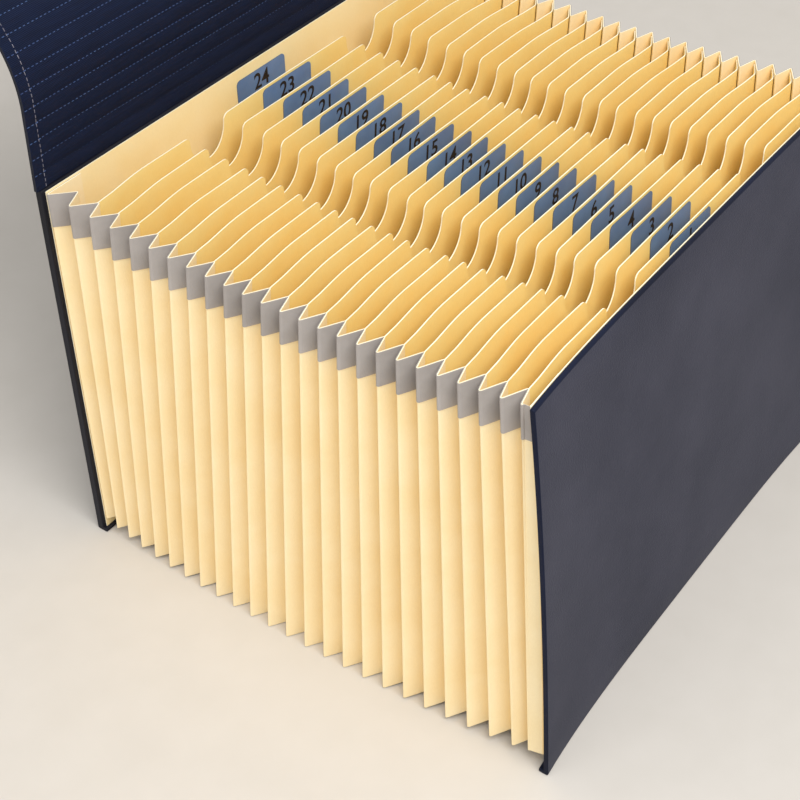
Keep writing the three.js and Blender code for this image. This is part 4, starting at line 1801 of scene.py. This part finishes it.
    def rib_stitches(self, start: float, end: float) -> Surface | None:
        """Stitches along each rib seam of one length.

        Args:
            start: Distance along the lining where the length starts.
            end: Distance where it ends.

        Returns:
            The surface, or nothing where the length has no seam.
        """
        seams = np.arange(1, int(self.length / self.rib_pitch)) * self.rib_pitch
        last = self.hinges[3] - self.last_seam_gap
        seams = seams[(seams > start) & (seams <= end) & (seams < last)]
        if not len(seams):
            return None
        reach = self.width / 2 - self.seam_inset
        across = np.arange(-reach, reach, self.stitch_pitch)
        distance, x = (part.ravel() for part in np.meshgrid(seams, across, indexing="ij"))
        return self.row(x, distance, along_x=True)

    def hem_stitches(self, start: float, end: float) -> Surface:
        """Stitches down both hems of one length.

        Args:
            start: Distance along the lining where the length starts.
            end: Distance where it ends.

        Returns:
            The surface.
        """
        inset = self.width / 2 - self.stitch_inset
        along = np.arange(start + self.stitch_pitch / 2, end, self.stitch_pitch)
        distance, x = (part.ravel() for part in np.meshgrid(along, [-inset, inset], indexing="ij"))
        return self.row(x, distance, along_x=False)

    def row(self, x: Array, distance: Array, along_x: bool) -> Surface:
        """Stitches at given places on the lining.

        Args:
            x: Places across the flap.
            distance: Distances along it.
            along_x: True where they run across, False where they run along.

        Returns:
            The surface.
        """
        places = self.place(x, distance, self.lining_depth(x, distance))
        _, heading = self.line(distance)
        zero = np.zeros_like(heading)
        out = np.stack([zero, -np.cos(heading), np.sin(heading)], axis=1)
        onward = np.stack([zero, np.sin(heading), np.cos(heading)], axis=1)
        across = np.stack([zero + 1.0, zero, zero], axis=1)
        return self.stitches(places, across if along_x else onward, out)

    def build(self, finishes: FinishSet) -> None:
        """Makes each length with its stitches.

        Args:
            finishes: The materials.
        """
        hinges = self.hinges
        middles = [(hinges[i] + hinges[i + 1]) / 2 for i in range(3)]
        ends = [self.foot_gap, *middles, self.length]
        for i, node in enumerate(FLAP_NODES):
            start, end = ends[i], ends[i + 1]
            pieces = [make_object(f"{node}_cloth", self.cloth(start, end),
                                  [finishes.lining, finishes.rear_face])]
            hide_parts(node)
            seams = self.rib_stitches(start, end)
            if seams is not None:
                pieces.append(make_object(f"{node}_rib_seams", seams, [finishes.thread]))
            pieces.append(make_object(f"{node}_hem_seams", self.hem_stitches(start, end),
                                      [finishes.hem_thread]))
            for piece in pieces:
                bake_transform(piece)
            log.info("%s: %d pieces", node, len(pieces))


def main() -> None:
    """Builds the stage and every part of the folder, in order."""
    logging.basicConfig(level=logging.INFO, format="%(name)s: %(message)s")
    bpy.context.scene.view_settings.view_transform = "Standard"
    Stage().build()
    finishes = FinishSet()
    warp = Warp(bow=1.6 * MM, curl=4.8 * MM)
    front = LAYOUT.pockets
    Cover("back_cover", Wall.REAR, 0, 4.6 * MM, ROOT_BODY).build(finishes)
    Cover("front_cover", Wall.FRONT, front, 2.8 * MM, FRONT_BODY, warp).build(finishes)
    back_liner = Liner("back_liner", Wall.REAR, 0, ROOT_BODY)
    back_liner.build(finishes)
    Liner("front_liner", Wall.FRONT, front, FRONT_BODY, warp).build(finishes)
    PleatedSides(warp).build(finishes)
    for fold in range(1, LAYOUT.pockets):
        Divider(fold).build(finishes)
    Label(LAYOUT.pockets, back_liner.top - REAR_LABEL_DROP).build(finishes)
    log.info("label %d on the rear liner", LAYOUT.pockets)
    Flap().build(finishes)


if __name__ == "__main__":
    main()
